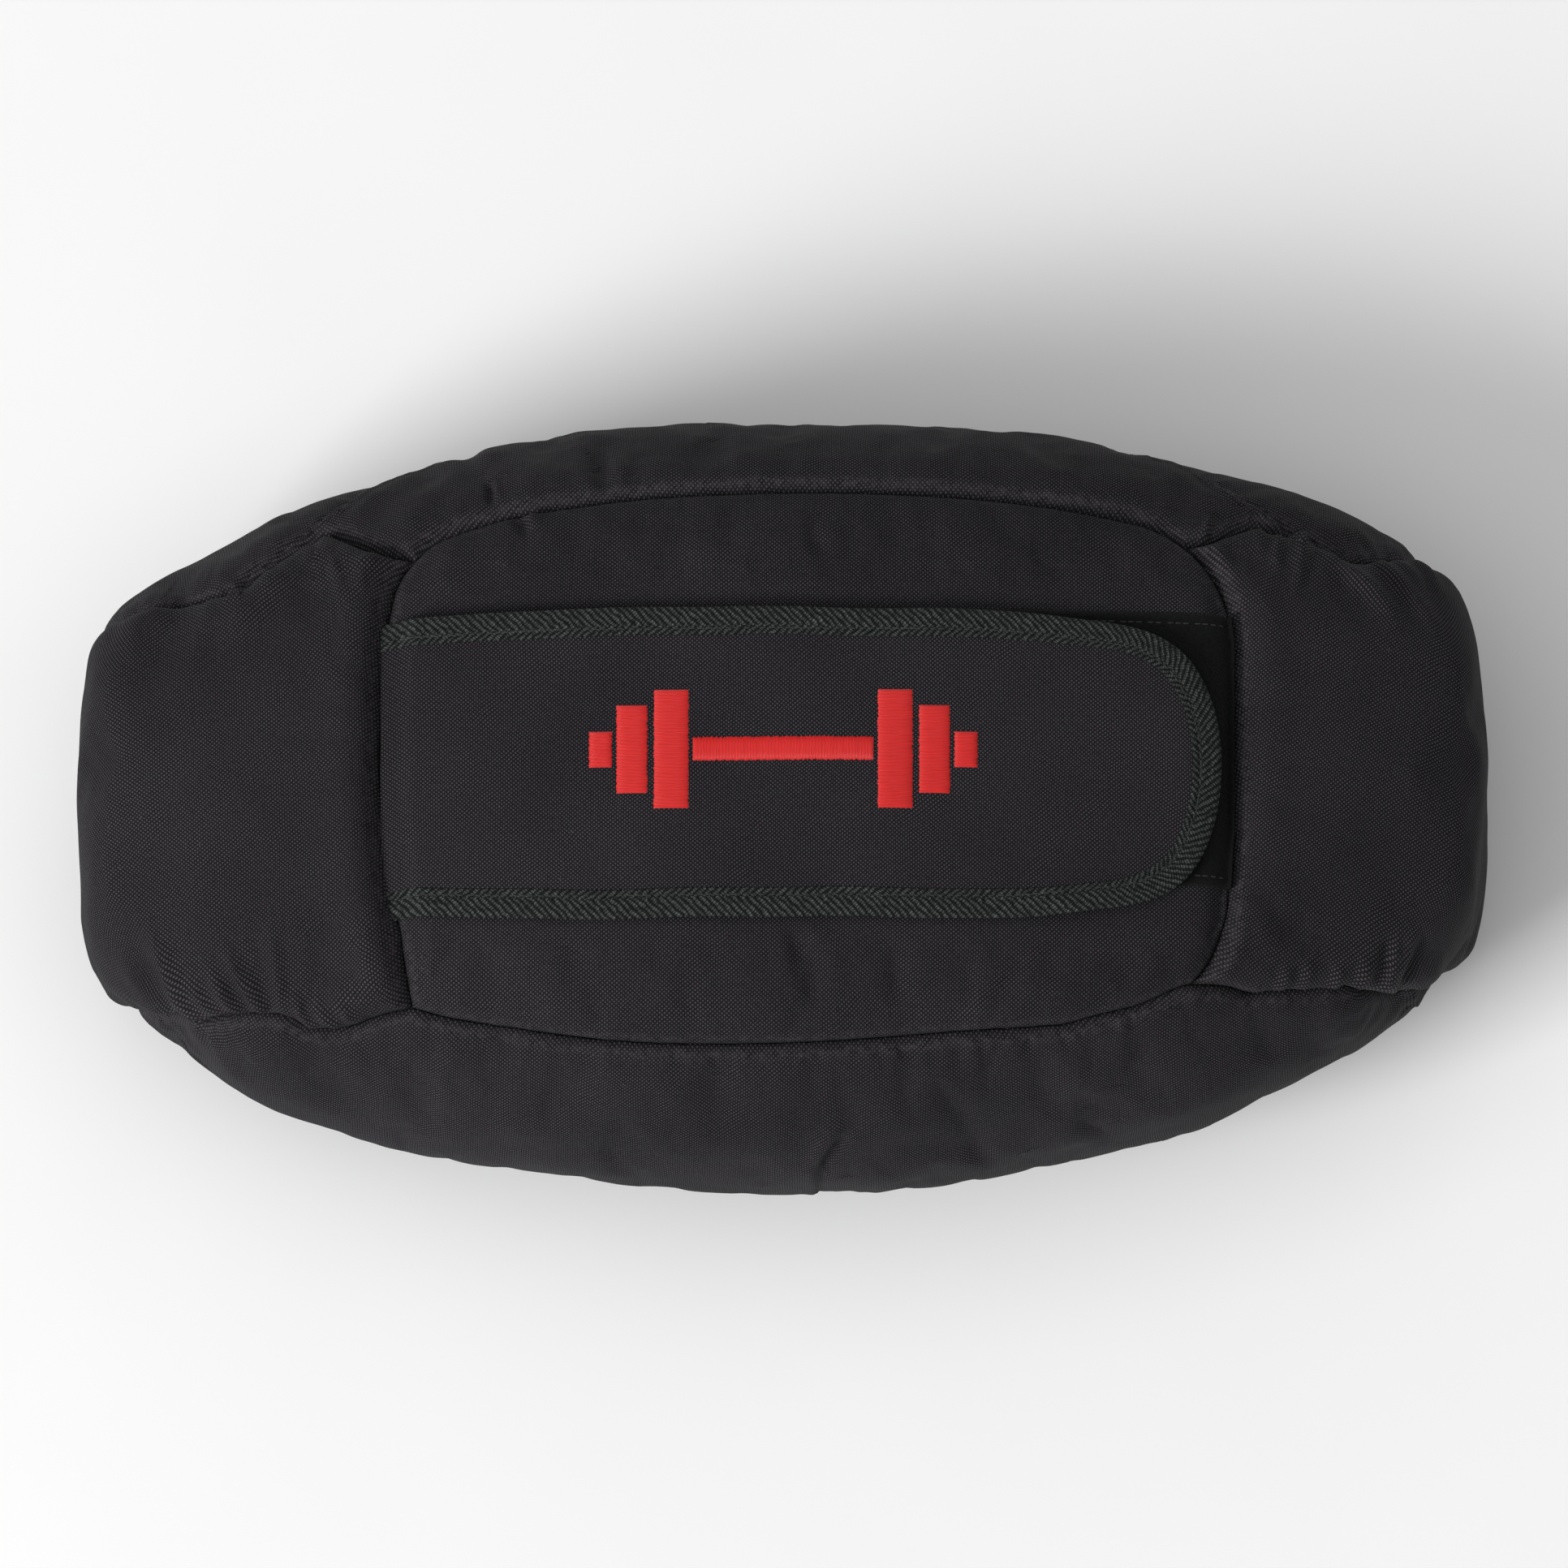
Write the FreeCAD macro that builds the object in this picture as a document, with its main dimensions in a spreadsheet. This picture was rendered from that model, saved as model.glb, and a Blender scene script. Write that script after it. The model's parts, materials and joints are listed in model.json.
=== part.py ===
import FreeCAD, Part
import math
import os
import Sketcher

# A filled sandbag lying on its back panel. Lengths are millimetres: +X runs along the bag, +Z is up, the
# origin is on the floor under the middle of the bag. The closing flap, the zip and the loop patch follow
# one lengthwise arc over the front panel, the crown, and their layers are given as heights over that arc.

SIZES = [
    ("bag_length", 538, "over the end panels"),
    ("bag_width", 297, "over the gussets, at the middle"),
    ("outline_axis", 311, "half the long axis of the ellipse that the plan outline follows"),
    ("crown_height", 193, "front panel over the floor, at the middle"),
    ("crown_radius", 900, "lengthwise curve of the top"),
    ("corner_share", 0.6, "corner radius of a cross-section over its half width"),
    ("end_lift", 30, "rise of the base at the ends"),
    ("base_trim", 2.5, "depth of the curved base that the floor flattens"),
    ("end_round", 11, "rounding round the end panels"),
    ("skin", 2, "bag fabric with its lining and seam allowance"),
    ("strip_half", 87, "half width of the end panels, where the front panel meets them"),
    ("strip_bow", 400, "radius of the end panels' long seams"),
    ("strip_low", 24, "height of the end panels' lower seam"),
    ("seam_bow", 545, "radius of the front panel's long seams"),
    ("seam_upper_left", -146, "front panel's corner"),
    ("seam_lower_left", -141, "front panel's corner"),
    ("seam_right", 161, "front panel's right corners"),
    ("left_seam_bow", 620, "radius of the front panel's left seam"),
    ("right_seam_bow", 322, "radius of the front panel's right seam"),
    ("gusset_end", 215, "where the gussets run out, from the middle"),
    ("gusset_high", 150, "height of the back seam where the gussets run out"),
    ("gusset_seam_bow", 350, "radius of the back seam, seen from the side"),
    ("flap_root", -149, "where the flap leaves the left seam"),
    ("flap_fold", 88, "where the flap's tip bends up first"),
    ("flap_gap", 0.4, "clearance between the flap's two stretches"),
    ("flap_end", 168, "the flap's rounded end"),
    ("flap_half", 60, "half width of the flap"),
    ("tip_corner", 42, "corner radius of the flap's end"),
    ("tip_bow", 80, "radius of the flap's end between its corners"),
    ("binding_width", 11, "folded edge tape"),
    ("binding_cover", 1.5, "edge tape beyond the edge of the cloth in it"),
    ("loop_low", 0.1, "loop patch's underside"),
    ("loop_high", 2.1, "loop patch's top"),
    ("hook_low", 2.4, "hook patch's underside"),
    ("lining_low", 4.0, "flap lining's underside"),
    ("lining_high", 5.0, "flap lining's top"),
    ("face_high", 6.2, "flap face's top"),
    ("binding_low", 3.7, "edge tape's underside"),
    ("binding_high", 6.9, "edge tape's top"),
    ("emblem_high", 7.0, "embroidery's top"),
    ("loop_left", 25, "loop patch's inner end"),
    ("loop_right", 169, "loop patch's end at the right seam"),
    ("loop_half", 53, "half width of the loop patch"),
    ("loop_middle", 8, "loop patch's middle, off the bag's middle"),
    ("hook_margin", 2, "hook patch inside the edge tape"),
    ("emblem_length", 150, "embroidered dumb-bell"),
    ("emblem_height", 46, "embroidered dumb-bell"),
    ("emblem_middle", 5, "embroidered dumb-bell's middle, off the flap's middle"),
    ("slot_left", -141, "zip opening in the front panel"),
    ("slot_right", -1, "zip opening in the front panel"),
    ("slot_half", 6, "half width of the zip opening"),
    ("tape_inner", 4.2, "zip tape's inner edge from the zip's middle"),
    ("tape_outer", 17, "zip tape's outer edge from the zip's middle"),
    ("tape_low", -2.9, "zip tape's underside"),
    ("tape_high", -2.1, "zip tape's top"),
    ("tape_margin", 5, "zip tape past each end of the opening"),
    ("tooth_inner", 0.9, "a tooth's tip from the zip's middle"),
    ("tooth_outer", 4.15, "a tooth's heel from the zip's middle"),
    ("tooth_low", -3.0, "a tooth's underside"),
    ("tooth_high", -0.4, "a tooth's top"),
    ("tooth_length", 1.6, "one tooth along the zip"),
    ("tooth_pitch", 2.8, "tooth to tooth along the zip"),
    ("teeth_left", -135, "first tooth"),
    ("stop_length", 2, "end stops along the zip"),
    ("stop_margin", 2, "end stops inside the zip opening, and clear of the teeth"),
    ("slider_rest", -14, "slider's middle with the zip closed"),
    ("slider_length", 18, "slider body"),
    ("slider_half", 5.4, "half width of the slider body"),
    ("slider_wall", 1.0, "slider's side flanges"),
    ("slider_high", 1.3, "slider's top"),
    ("slider_roof", -0.05, "underside of the slider's top plate"),
    ("slider_lip_high", -1.75, "lower edge of the top plate's flanges"),
    ("slider_lip_low", -3.25, "upper edge of the bottom plate's flanges"),
    ("slider_floor", -4.0, "top of the slider's bottom plate"),
    ("slider_low", -5.2, "slider's underside"),
    ("post_length", 4, "slider's dividing post"),
    ("post_margin", 2, "dividing post inside the slider's wide end"),
    ("post_width", 1.0, "slider's dividing post"),
    ("bridge_length", 12, "bridge over the slider"),
    ("bridge_foot", 1.4, "each foot of the bridge"),
    ("bridge_width", 3, "bridge over the slider"),
    ("bridge_under", 2.35, "underside of the bridge"),
    ("bridge_high", 3.2, "top of the bridge"),
    ("pull_axis", 1.82, "height of the pull's pivot bar"),
    ("pull_thick", 0.8, "pull tab and its pivot bar"),
    ("pull_length", 34, "pull tab from its pivot"),
    ("pull_half", 3.4, "half width of the pull tab"),
    ("pull_eye", 11, "length of the pull's eye"),
    ("pull_eye_half", 2.0, "half width of the pull's eye"),
    ("pull_hole", 1.6, "radius of the hole in the pull's tail"),
    ("liner_inset", 8, "bag's outside to the liner's outside"),
    ("liner_skin", 1.2, "coated liner fabric"),
    ("sand_gap", 0.3, "liner to sand"),
    ("closure_half", 18, "half width of the liner's folded mouth"),
    ("closure_low", -7.6, "underside of the liner's folded mouth"),
    ("closure_high", -6.0, "top of the liner's folded mouth"),
    ("closure_margin", 10, "folded mouth inside the zip opening, at each end"),
    ("far", 330, "past every side of the bag"),
    ("slack", 0.4, "a cutting block past the piece it cuts"),
]

# Cross-sections from the middle to each end, as shares of the half length up to the rounding
STATIONS = (0, 0.2, 0.4, 0.6, 0.8)
# Most of the form's volume that flattening its base may take
MOST_TRIMMED = 0.05
# The end rounding: distance from the end and loss of width, as shares of its radius
END_STEPS = ((1, 0), (0.5, 0.134), (0.15, 0.473), (0, 0.85))
# The embroidered dumb-bell's bars: middle and width over its length, height over its height
EMBLEM_BARS = (
    (0, 0.46, 0.2),
    (-0.285, 0.09, 1), (0.285, 0.09, 1),
    (-0.385, 0.08, 0.74), (0.385, 0.08, 0.74),
    (-0.465, 0.06, 0.3), (0.465, 0.06, 0.3),
)


class Size:
    """A length as a number together with the expression that drives it."""

    def __init__(self, value, text):
        self.value = value
        self.text = text

    def __add__(self, other):
        other = as_size(other)
        return Size(self.value + other.value, f"({self.text} + {other.text})")

    def __sub__(self, other):
        other = as_size(other)
        return Size(self.value - other.value, f"({self.text} - {other.text})")

    def __mul__(self, other):
        other = as_size(other)
        return Size(self.value * other.value, f"({self.text} * {other.text})")

    def __truediv__(self, other):
        other = as_size(other)
        return Size(self.value / other.value, f"({self.text} / {other.text})")

    def __neg__(self):
        return as_size(0) - self

    def squared(self):
        return self * self

    def root(self):
        return Size(math.sqrt(self.value), f"sqrt({self.text})")

    def arcsine(self):
        return Size(math.degrees(math.asin(self.value)), f"(asin({self.text}) / 1 deg)")


def as_size(value):
    return value if isinstance(value, Size) else Size(value, f"{value:g}")


doc = FreeCAD.newDocument("sandbag")
sheet = doc.addObject("Spreadsheet::Sheet", "Sizes")
for row, (alias, value, note) in enumerate(SIZES, start=1):
    sheet.set(f"A{row}", alias)
    sheet.set(f"B{row}", f"{value:g}")
    sheet.set(f"C{row}", note)
    sheet.setAlias(f"B{row}", alias)
doc.recompute()
CELLS = {alias: Size(float(value), f"Sizes.{alias}") for alias, value, _ in SIZES}
nodes = []


def cell(alias):
    return CELLS[alias]


def node(thing, label):
    """Name an object as a sub-part of the bag."""
    thing.Label = label
    nodes.append(thing)
    return thing


# Sketches and bodies

def new_body(label):
    body = doc.addObject("PartDesign::Body", label)
    body.AllowCompound = True
    return body


def plane_of(body, role):
    return next(item for item in body.Origin.OriginFeatures if item.Role == role)


def new_sketch(body, role, lift=0):
    """A sketch on one of the body's origin planes, moved along the plane's normal."""
    sketch = body.newObject("Sketcher::SketchObject", "profile")
    sketch.AttachmentSupport = (plane_of(body, role), [""])
    sketch.MapMode = "FlatFace"
    sketch.setExpression("AttachmentOffset.Base.z", as_size(lift).text)
    return sketch


def drive(sketch, size, kind, *where):
    """Add a dimension to the sketch and bind it to its size."""
    index = sketch.addConstraint(Sketcher.Constraint(kind, *where, size.value))
    sketch.setExpression(f"Constraints[{index}]", size.text)


def hold(sketch, edge, end, x, y):
    """Hold an edge's end, or its centre, at (x, y)."""
    drive(sketch, as_size(x), "DistanceX", -1, 1, edge, end)
    drive(sketch, as_size(y), "DistanceY", -1, 1, edge, end)


def vector(x, y):
    return FreeCAD.Vector(as_size(x).value, as_size(y).value, 0)


def add_line(sketch, start, end):
    return sketch.addGeometry(Part.LineSegment(vector(*start), vector(*end)))


def join_ring(sketch, edges):
    """Join each edge's end to the next edge's start, all the way round."""
    for edge, following in zip(edges, edges[1:] + edges[:1]):
        sketch.addConstraint(Sketcher.Constraint("Coincident", edge, 2, following, 1))


def add_polygon(sketch, corners):
    edges = [add_line(sketch, a, b) for a, b in zip(corners, corners[1:] + corners[:1])]
    join_ring(sketch, edges)
    for edge, corner in zip(edges, corners):
        hold(sketch, edge, 1, *corner)


def add_rectangle(sketch, left, right, low, high):
    add_polygon(sketch, [(left, low), (right, low), (right, high), (left, high)])


def add_arc(sketch, start, end, radius):
    """An arc that turns anticlockwise from start to end by less than half a turn. Returns its number."""
    a, b, r = vector(*start), vector(*end), as_size(radius).value
    chord = b - a
    side = FreeCAD.Vector(-chord.y, chord.x, 0).normalize()
    centre = (a + b) * 0.5 + side * math.sqrt(r * r - (chord.Length / 2) ** 2)
    angles = [math.atan2(p.y - centre.y, p.x - centre.x) for p in (a, b)]
    circle = Part.Circle(centre, FreeCAD.Vector(0, 0, 1), r)
    return sketch.addGeometry(Part.ArcOfCircle(circle, *angles))


def add_bowed_ring(sketch, corners, radii):
    """A closed anticlockwise outline of arcs and, where the radius is None, lines."""
    edges = []
    for start, end, radius in zip(corners, corners[1:] + corners[:1], radii):
        if radius is None:
            edges.append(add_line(sketch, start, end))
        else:
            edges.append(add_arc(sketch, start, end, radius))
    join_ring(sketch, edges)
    for edge, corner, radius in zip(edges, corners, radii):
        hold(sketch, edge, 1, *corner)
        if radius is not None:
            drive(sketch, as_size(radius), "Radius", edge)


def pad(body, sketch, length, symmetric=False):
    feature = body.newObject("PartDesign::Pad", "pad")
    feature.Profile = sketch
    feature.setExpression("Length", as_size(length).text)
    if symmetric:
        feature.SideType = "Symmetric"
    body.Tip = feature
    return feature


# Booleans between bodies

def common(base, tool, label):
    result = doc.addObject("Part::Common", label)
    result.Base = base
    result.Tool = tool
    return result


def cut(base, tool, label):
    result = doc.addObject("Part::Cut", label)
    result.Base = base
    result.Tool = tool
    return result


def fuse(things, label):
    result = doc.addObject("Part::MultiFuse", label)
    result.Shapes = things
    return result


# The bag's rounded form, at any depth under its outside

def section_sketch(body, along, inset):
    """The bag's cross-section at a distance along it, drawn in by inset: a rectangle with round corners."""
    narrowing = (as_size(1) - (along / cell("outline_axis")).squared()).root()
    half_width = cell("bag_width") / 2 * narrowing - inset
    drop = cell("crown_radius") - (cell("crown_radius").squared() - along.squared()).root()
    top = cell("crown_height") - drop - inset
    lift = cell("end_lift") * (along / (cell("bag_length") / 2)).squared().squared()
    base = lift - cell("base_trim") + inset
    corner = half_width * cell("corner_share")
    sketch = new_sketch(body, "YZ_Plane", along)
    w, r, t, b = half_width.value, corner.value, top.value, base.value
    flat = w - r
    quarter = math.pi / 2
    lines = [
        ((-flat, t), (flat, t)),
        ((w, t - r), (w, b + r)),
        ((flat, b), (-flat, b)),
        ((-w, b + r), (-w, t - r)),
    ]
    centres = [(flat, t - r), (flat, b + r), (-flat, b + r), (-flat, t - r)]
    edges = []
    for turn, (line, centre) in enumerate(zip(lines, centres)):
        edges.append(add_line(sketch, *line))
        circle = Part.Circle(vector(*centre), FreeCAD.Vector(0, 0, 1), r)
        edges.append(sketch.addGeometry(Part.ArcOfCircle(circle, -turn * quarter, quarter - turn * quarter)))
    top_line, first_arc, right_line, second_arc, base_line, third_arc, left_line, fourth_arc = edges
    for line, arc, following in (
        (top_line, first_arc, right_line),
        (right_line, second_arc, base_line),
        (base_line, third_arc, left_line),
        (left_line, fourth_arc, top_line),
    ):
        sketch.addConstraint(Sketcher.Constraint("Tangent", line, 2, arc, 2))
        sketch.addConstraint(Sketcher.Constraint("Tangent", arc, 1, following, 1))
    for arc in (second_arc, third_arc, fourth_arc):
        sketch.addConstraint(Sketcher.Constraint("Equal", first_arc, arc))
    for line in (top_line, base_line):
        sketch.addConstraint(Sketcher.Constraint("Horizontal", line))
    for line in (right_line, left_line):
        sketch.addConstraint(Sketcher.Constraint("Vertical", line))
    drive(sketch, half_width, "DistanceX", -1, 1, right_line, 1)
    drive(sketch, half_width, "DistanceX", left_line, 1, -1, 1)
    drive(sketch, top, "DistanceY", -1, 1, top_line, 1)
    drive(sketch, base, "DistanceY", -1, 1, base_line, 1)
    drive(sketch, corner, "Radius", first_arc)
    return sketch


def bag_form(label, inset):
    """The bag's whole form, loft and flattened base, at a depth under its outside."""
    inset = as_size(inset)
    half_length, rounding = cell("bag_length") / 2 - inset, cell("end_round")
    half = [(half_length * share, inset) for share in STATIONS]
    half += [(half_length - rounding * back, inset + rounding * loss) for back, loss in END_STEPS]
    body = new_body(label)
    sketches = [section_sketch(body, -along, depth) for along, depth in reversed(half[1:])]
    sketches += [section_sketch(body, along, depth) for along, depth in half]
    loft = body.newObject("PartDesign::AdditiveLoft", "loft")
    loft.Profile = sketches[0]
    loft.Sections = sketches[1:]
    body.Tip = loft
    doc.recompute()
    before = loft.Shape.Volume
    floor = new_sketch(body, "XY_Plane", inset)
    add_rectangle(floor, -cell("far"), cell("far"), -cell("far"), cell("far"))
    trim = body.newObject("PartDesign::Pocket", "flat_base")
    trim.Profile = floor
    trim.Type = "ThroughAll"
    body.Tip = trim
    doc.recompute()
    if not 0 < before - trim.Shape.Volume < MOST_TRIMMED * before:
        raise RuntimeError(f"{label}: its base was trimmed the wrong way")
    return body


# Regions that cut the bag's fabric into its panels

def front_corners():
    upper, lower = cell("strip_half"), -cell("strip_half")
    return {
        "lower_left": (cell("seam_lower_left"), lower),
        "lower_right": (cell("seam_right"), lower),
        "upper_right": (cell("seam_right"), upper),
        "upper_left": (cell("seam_upper_left"), upper),
    }


def front_region():
    body = new_body("front_region")
    sketch = new_sketch(body, "XY_Plane", cell("crown_height") / 2)
    add_bowed_ring(
        sketch,
        list(front_corners().values()),
        [cell("seam_bow"), cell("right_seam_bow"), cell("seam_bow"), cell("left_seam_bow")],
    )
    pad(body, sketch, cell("far"))
    return body


def left_end_region():
    """Everything left of the front panel's left seam, as wide as an end panel."""
    corners = front_corners()
    outer = -cell("far")
    body = new_body("left_end_region")
    sketch = new_sketch(body, "XY_Plane", cell("strip_low"))
    upper, lower = corners["upper_left"], corners["lower_left"]
    edges = [
        add_arc(sketch, upper, (outer, upper[1]), cell("strip_bow")),
        add_line(sketch, (outer, upper[1]), (outer, lower[1])),
        add_arc(sketch, (outer, lower[1]), lower, cell("strip_bow")),
        add_arc(sketch, upper, lower, cell("left_seam_bow")),
    ]
    close_end_region(sketch, edges, upper, lower, outer, cell("left_seam_bow"))
    pad(body, sketch, cell("far"))
    return body


def right_end_region():
    """Everything right of the front panel's right seam, as wide as an end panel."""
    corners = front_corners()
    outer = cell("far")
    body = new_body("right_end_region")
    sketch = new_sketch(body, "XY_Plane", cell("strip_low"))
    upper, lower = corners["upper_right"], corners["lower_right"]
    edges = [
        add_arc(sketch, lower, (outer, lower[1]), cell("strip_bow")),
        add_line(sketch, (outer, lower[1]), (outer, upper[1])),
        add_arc(sketch, (outer, upper[1]), upper, cell("strip_bow")),
        add_arc(sketch, lower, upper, cell("right_seam_bow")),
    ]
    close_end_region(sketch, edges, lower, upper, outer, cell("right_seam_bow"))
    pad(body, sketch, cell("far"))
    return body


def close_end_region(sketch, edges, start, finish, outer, seam_radius):
    """Join an end region's edges: out along one long seam, down the far side, back, along the front seam."""
    going, side, back, seam = edges
    sketch.addConstraint(Sketcher.Constraint("Coincident", going, 2, side, 1))
    sketch.addConstraint(Sketcher.Constraint("Coincident", side, 2, back, 1))
    sketch.addConstraint(Sketcher.Constraint("Coincident", back, 2, seam, 2))
    sketch.addConstraint(Sketcher.Constraint("Coincident", seam, 1, going, 1))
    hold(sketch, going, 1, *start)
    hold(sketch, side, 1, outer, start[1])
    hold(sketch, back, 1, outer, finish[1])
    hold(sketch, back, 2, *finish)
    drive(sketch, cell("strip_bow"), "Radius", going)
    drive(sketch, cell("strip_bow"), "Radius", back)
    drive(sketch, seam_radius, "Radius", seam)


def gusset_region():
    """Everything over the back seam, which rises towards the ends."""
    body = new_body("gusset_region")
    sketch = new_sketch(body, "XZ_Plane")
    left, right = -cell("gusset_end"), cell("gusset_end")
    low, high = cell("gusset_high"), cell("far")
    edges = [
        add_arc(sketch, (left, low), (right, low), cell("gusset_seam_bow")),
        add_line(sketch, (right, low), (right, high)),
        add_line(sketch, (right, high), (left, high)),
        add_line(sketch, (left, high), (left, low)),
    ]
    join_ring(sketch, edges)
    for edge, corner in zip(edges, [(left, low), (right, low), (right, high), (left, high)]):
        hold(sketch, edge, 1, *corner)
    drive(sketch, cell("gusset_seam_bow"), "Radius", edges[0])
    pad(body, sketch, cell("far") * 2, symmetric=True)
    return body


def half_space(label, side):
    """A box over the +Y or the -Y half of the bag."""
    box = doc.addObject("Part::Box", label)
    box.setExpression("Length", (cell("far") * 2).text)
    box.setExpression("Width", cell("far").text)
    box.setExpression("Height", cell("far").text)
    box.setExpression("Placement.Base.x", (-cell("far")).text)
    box.setExpression("Placement.Base.y", "0" if side > 0 else (-cell("far")).text)
    return box


def box_region(label, left, right, half_width, low, high):
    box = doc.addObject("Part::Box", label)
    box.setExpression("Length", (right - left).text)
    box.setExpression("Width", (half_width * 2).text)
    box.setExpression("Height", (high - low).text)
    box.setExpression("Placement.Base.x", left.text)
    box.setExpression("Placement.Base.y", (-half_width).text)
    box.setExpression("Placement.Base.z", low.text)
    return box


def make_panels():
    skin = cut(bag_form("outer_form", 0), bag_form("inner_form", cell("skin")), "skin_form")
    front, left, right = front_region(), left_end_region(), right_end_region()
    gussets = gusset_region()
    top_strip = fuse([front, left, right], "top_strip_region")
    slot = box_region(
        "zip_slot", cell("slot_left"), cell("slot_right"), cell("slot_half"),
        cell("crown_height") / 2, cell("far"),
    )
    node(cut(common(skin, front, "front_sheet"), slot, "front"), "front_panel")
    node(common(skin, left, "left_end"), "left_end_panel")
    node(common(skin, right, "right_end"), "right_end_panel")
    sides = cut(common(skin, gussets, "skin_over_seam"), top_strip, "both_gussets")
    node(common(sides, half_space("upper_half", 1), "upper_side"), "upper_gusset")
    node(common(sides, half_space("lower_half", -1), "lower_side"), "lower_gusset")
    node(cut(skin, fuse([top_strip, gussets], "all_but_back"), "back"), "back_panel")


def make_filling():
    liner_inside = cell("liner_inset") + cell("liner_skin")
    liner = cut(bag_form("liner_form", cell("liner_inset")), bag_form("liner_hollow", liner_inside), "liner")
    node(liner, "inner_liner")
    node(bag_form("sand", liner_inside + cell("sand_gap")), "sand_fill")
    margin = cell("closure_margin")
    closure = strip(
        "closure", cell("closure_low"), cell("closure_high"),
        cell("slot_left") + margin, cell("slot_right") - margin, cell("closure_half") * 2,
    )
    node(closure, "liner_closure")


# Strips that lie along the crown. Their bodies' own origin is the crown's centre of curvature.

def crown_body(label):
    body = new_body(label)
    body.setExpression("Placement.Base.z", (cell("crown_height") - cell("crown_radius")).text)
    return body


def strip(label, low, high, left, right, width, middle=0):
    """A strip between two heights over the crown, from left to right, of one width about its middle."""
    body = crown_body(label)
    sketch = new_sketch(body, "XZ_Plane", -as_size(middle))
    inner, outer = cell("crown_radius") + low, cell("crown_radius") + high

    def on_arc(radius, along):
        return along, (radius.squared() - along.squared()).root()

    edges = [
        arc_about_origin(sketch, inner, on_arc(inner, right), on_arc(inner, left)),
        add_line(sketch, on_arc(inner, left), on_arc(outer, left)),
        arc_about_origin(sketch, outer, on_arc(outer, right), on_arc(outer, left)),
        add_line(sketch, on_arc(outer, right), on_arc(inner, right)),
    ]
    under, left_end, over, right_end = edges
    sketch.addConstraint(Sketcher.Constraint("Coincident", under, 2, left_end, 1))
    sketch.addConstraint(Sketcher.Constraint("Coincident", left_end, 2, over, 2))
    sketch.addConstraint(Sketcher.Constraint("Coincident", over, 1, right_end, 1))
    sketch.addConstraint(Sketcher.Constraint("Coincident", right_end, 2, under, 1))
    for line in (left_end, right_end):
        sketch.addConstraint(Sketcher.Constraint("Vertical", line))
    drive(sketch, left, "DistanceX", -1, 1, left_end, 1)
    drive(sketch, right, "DistanceX", -1, 1, right_end, 1)
    pad(body, sketch, width, symmetric=True)
    return body


def arc_about_origin(sketch, radius, start, end):
    a, b = vector(*start), vector(*end)
    circle = Part.Circle(FreeCAD.Vector(), FreeCAD.Vector(0, 0, 1), radius.value)
    edge = sketch.addGeometry(Part.ArcOfCircle(circle, math.atan2(a.y, a.x), math.atan2(b.y, b.x)))
    sketch.addConstraint(Sketcher.Constraint("Coincident", edge, 3, -1, 1))
    drive(sketch, radius, "Radius", edge)
    return edge


def flap_outline(label, inset, root):
    """The flap's plan, this far inside its edge, as a tall block."""
    half, end = cell("flap_half") - inset, cell("flap_end") - inset
    corner, bow = cell("tip_corner") - inset, cell("tip_bow") - inset
    bow_x = end - bow
    corner_y = half - corner
    corner_x = bow_x + ((bow - corner).squared() - corner_y.squared()).root()
    meet = bow / (bow - corner)
    meet_x, meet_y = bow_x + (corner_x - bow_x) * meet, corner_y * meet
    body = new_body(label)
    sketch = new_sketch(body, "XY_Plane", cell("crown_height") / 2)
    add_bowed_ring(
        sketch,
        [
            (root, -half), (corner_x, -half), (meet_x, -meet_y),
            (meet_x, meet_y), (corner_x, half), (root, half),
        ],
        [None, corner, bow, corner, None, None],
    )
    pad(body, sketch, cell("far"))
    return body


def make_flap():
    """The flap in its two stretches: the root, and the tip that bends up first."""
    root, fold, gap, slack = cell("flap_root"), cell("flap_fold"), cell("flap_gap"), cell("slack")
    stretches = {"root": (root, fold - gap / 2), "tip": (fold + gap / 2, cell("flap_end") + slack)}
    cover, width = cell("binding_cover"), cell("binding_width")
    whole = cell("flap_half") * 2 + slack
    cloth_plan = flap_outline("flap_cloth_plan", cover, root)
    edge_plan = cut(
        flap_outline("flap_plan", as_size(0), root),
        flap_outline("flap_inside_binding", width, root - width),
        "binding_plan",
    )
    for stretch, (left, right) in stretches.items():
        lining = common(
            strip(f"lining_{stretch}", cell("lining_low"), cell("lining_high"), left, right, whole),
            cloth_plan, f"lining_cloth_{stretch}",
        )
        face = common(
            strip(f"face_{stretch}", cell("lining_high"), cell("face_high"), left, right, whole),
            cloth_plan, f"face_cloth_{stretch}",
        )
        folded_tape = common(
            strip(f"tape_{stretch}", cell("binding_low"), cell("binding_high"), left, right, whole),
            edge_plan, f"folded_tape_{stretch}",
        )
        binding = cut(folded_tape, fuse([lining, face], f"cloth_in_tape_{stretch}"), f"binding_{stretch}")
        node(lining, f"flap_lining_{stretch}")
        node(face, f"flap_face_{stretch}")
        node(binding, f"flap_binding_{stretch}")
    hook_plan = flap_outline("hook_plan", width + cell("hook_margin"), root)
    for stretch, (left, right) in stretches.items():
        start = cell("loop_left") if stretch == "root" else left
        hook = common(
            strip(f"hook_{stretch}", cell("hook_low"), cell("lining_low"), start, right, whole),
            hook_plan, f"hook_tape_{stretch}",
        )
        node(hook, f"hook_patch_{stretch}")


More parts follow.
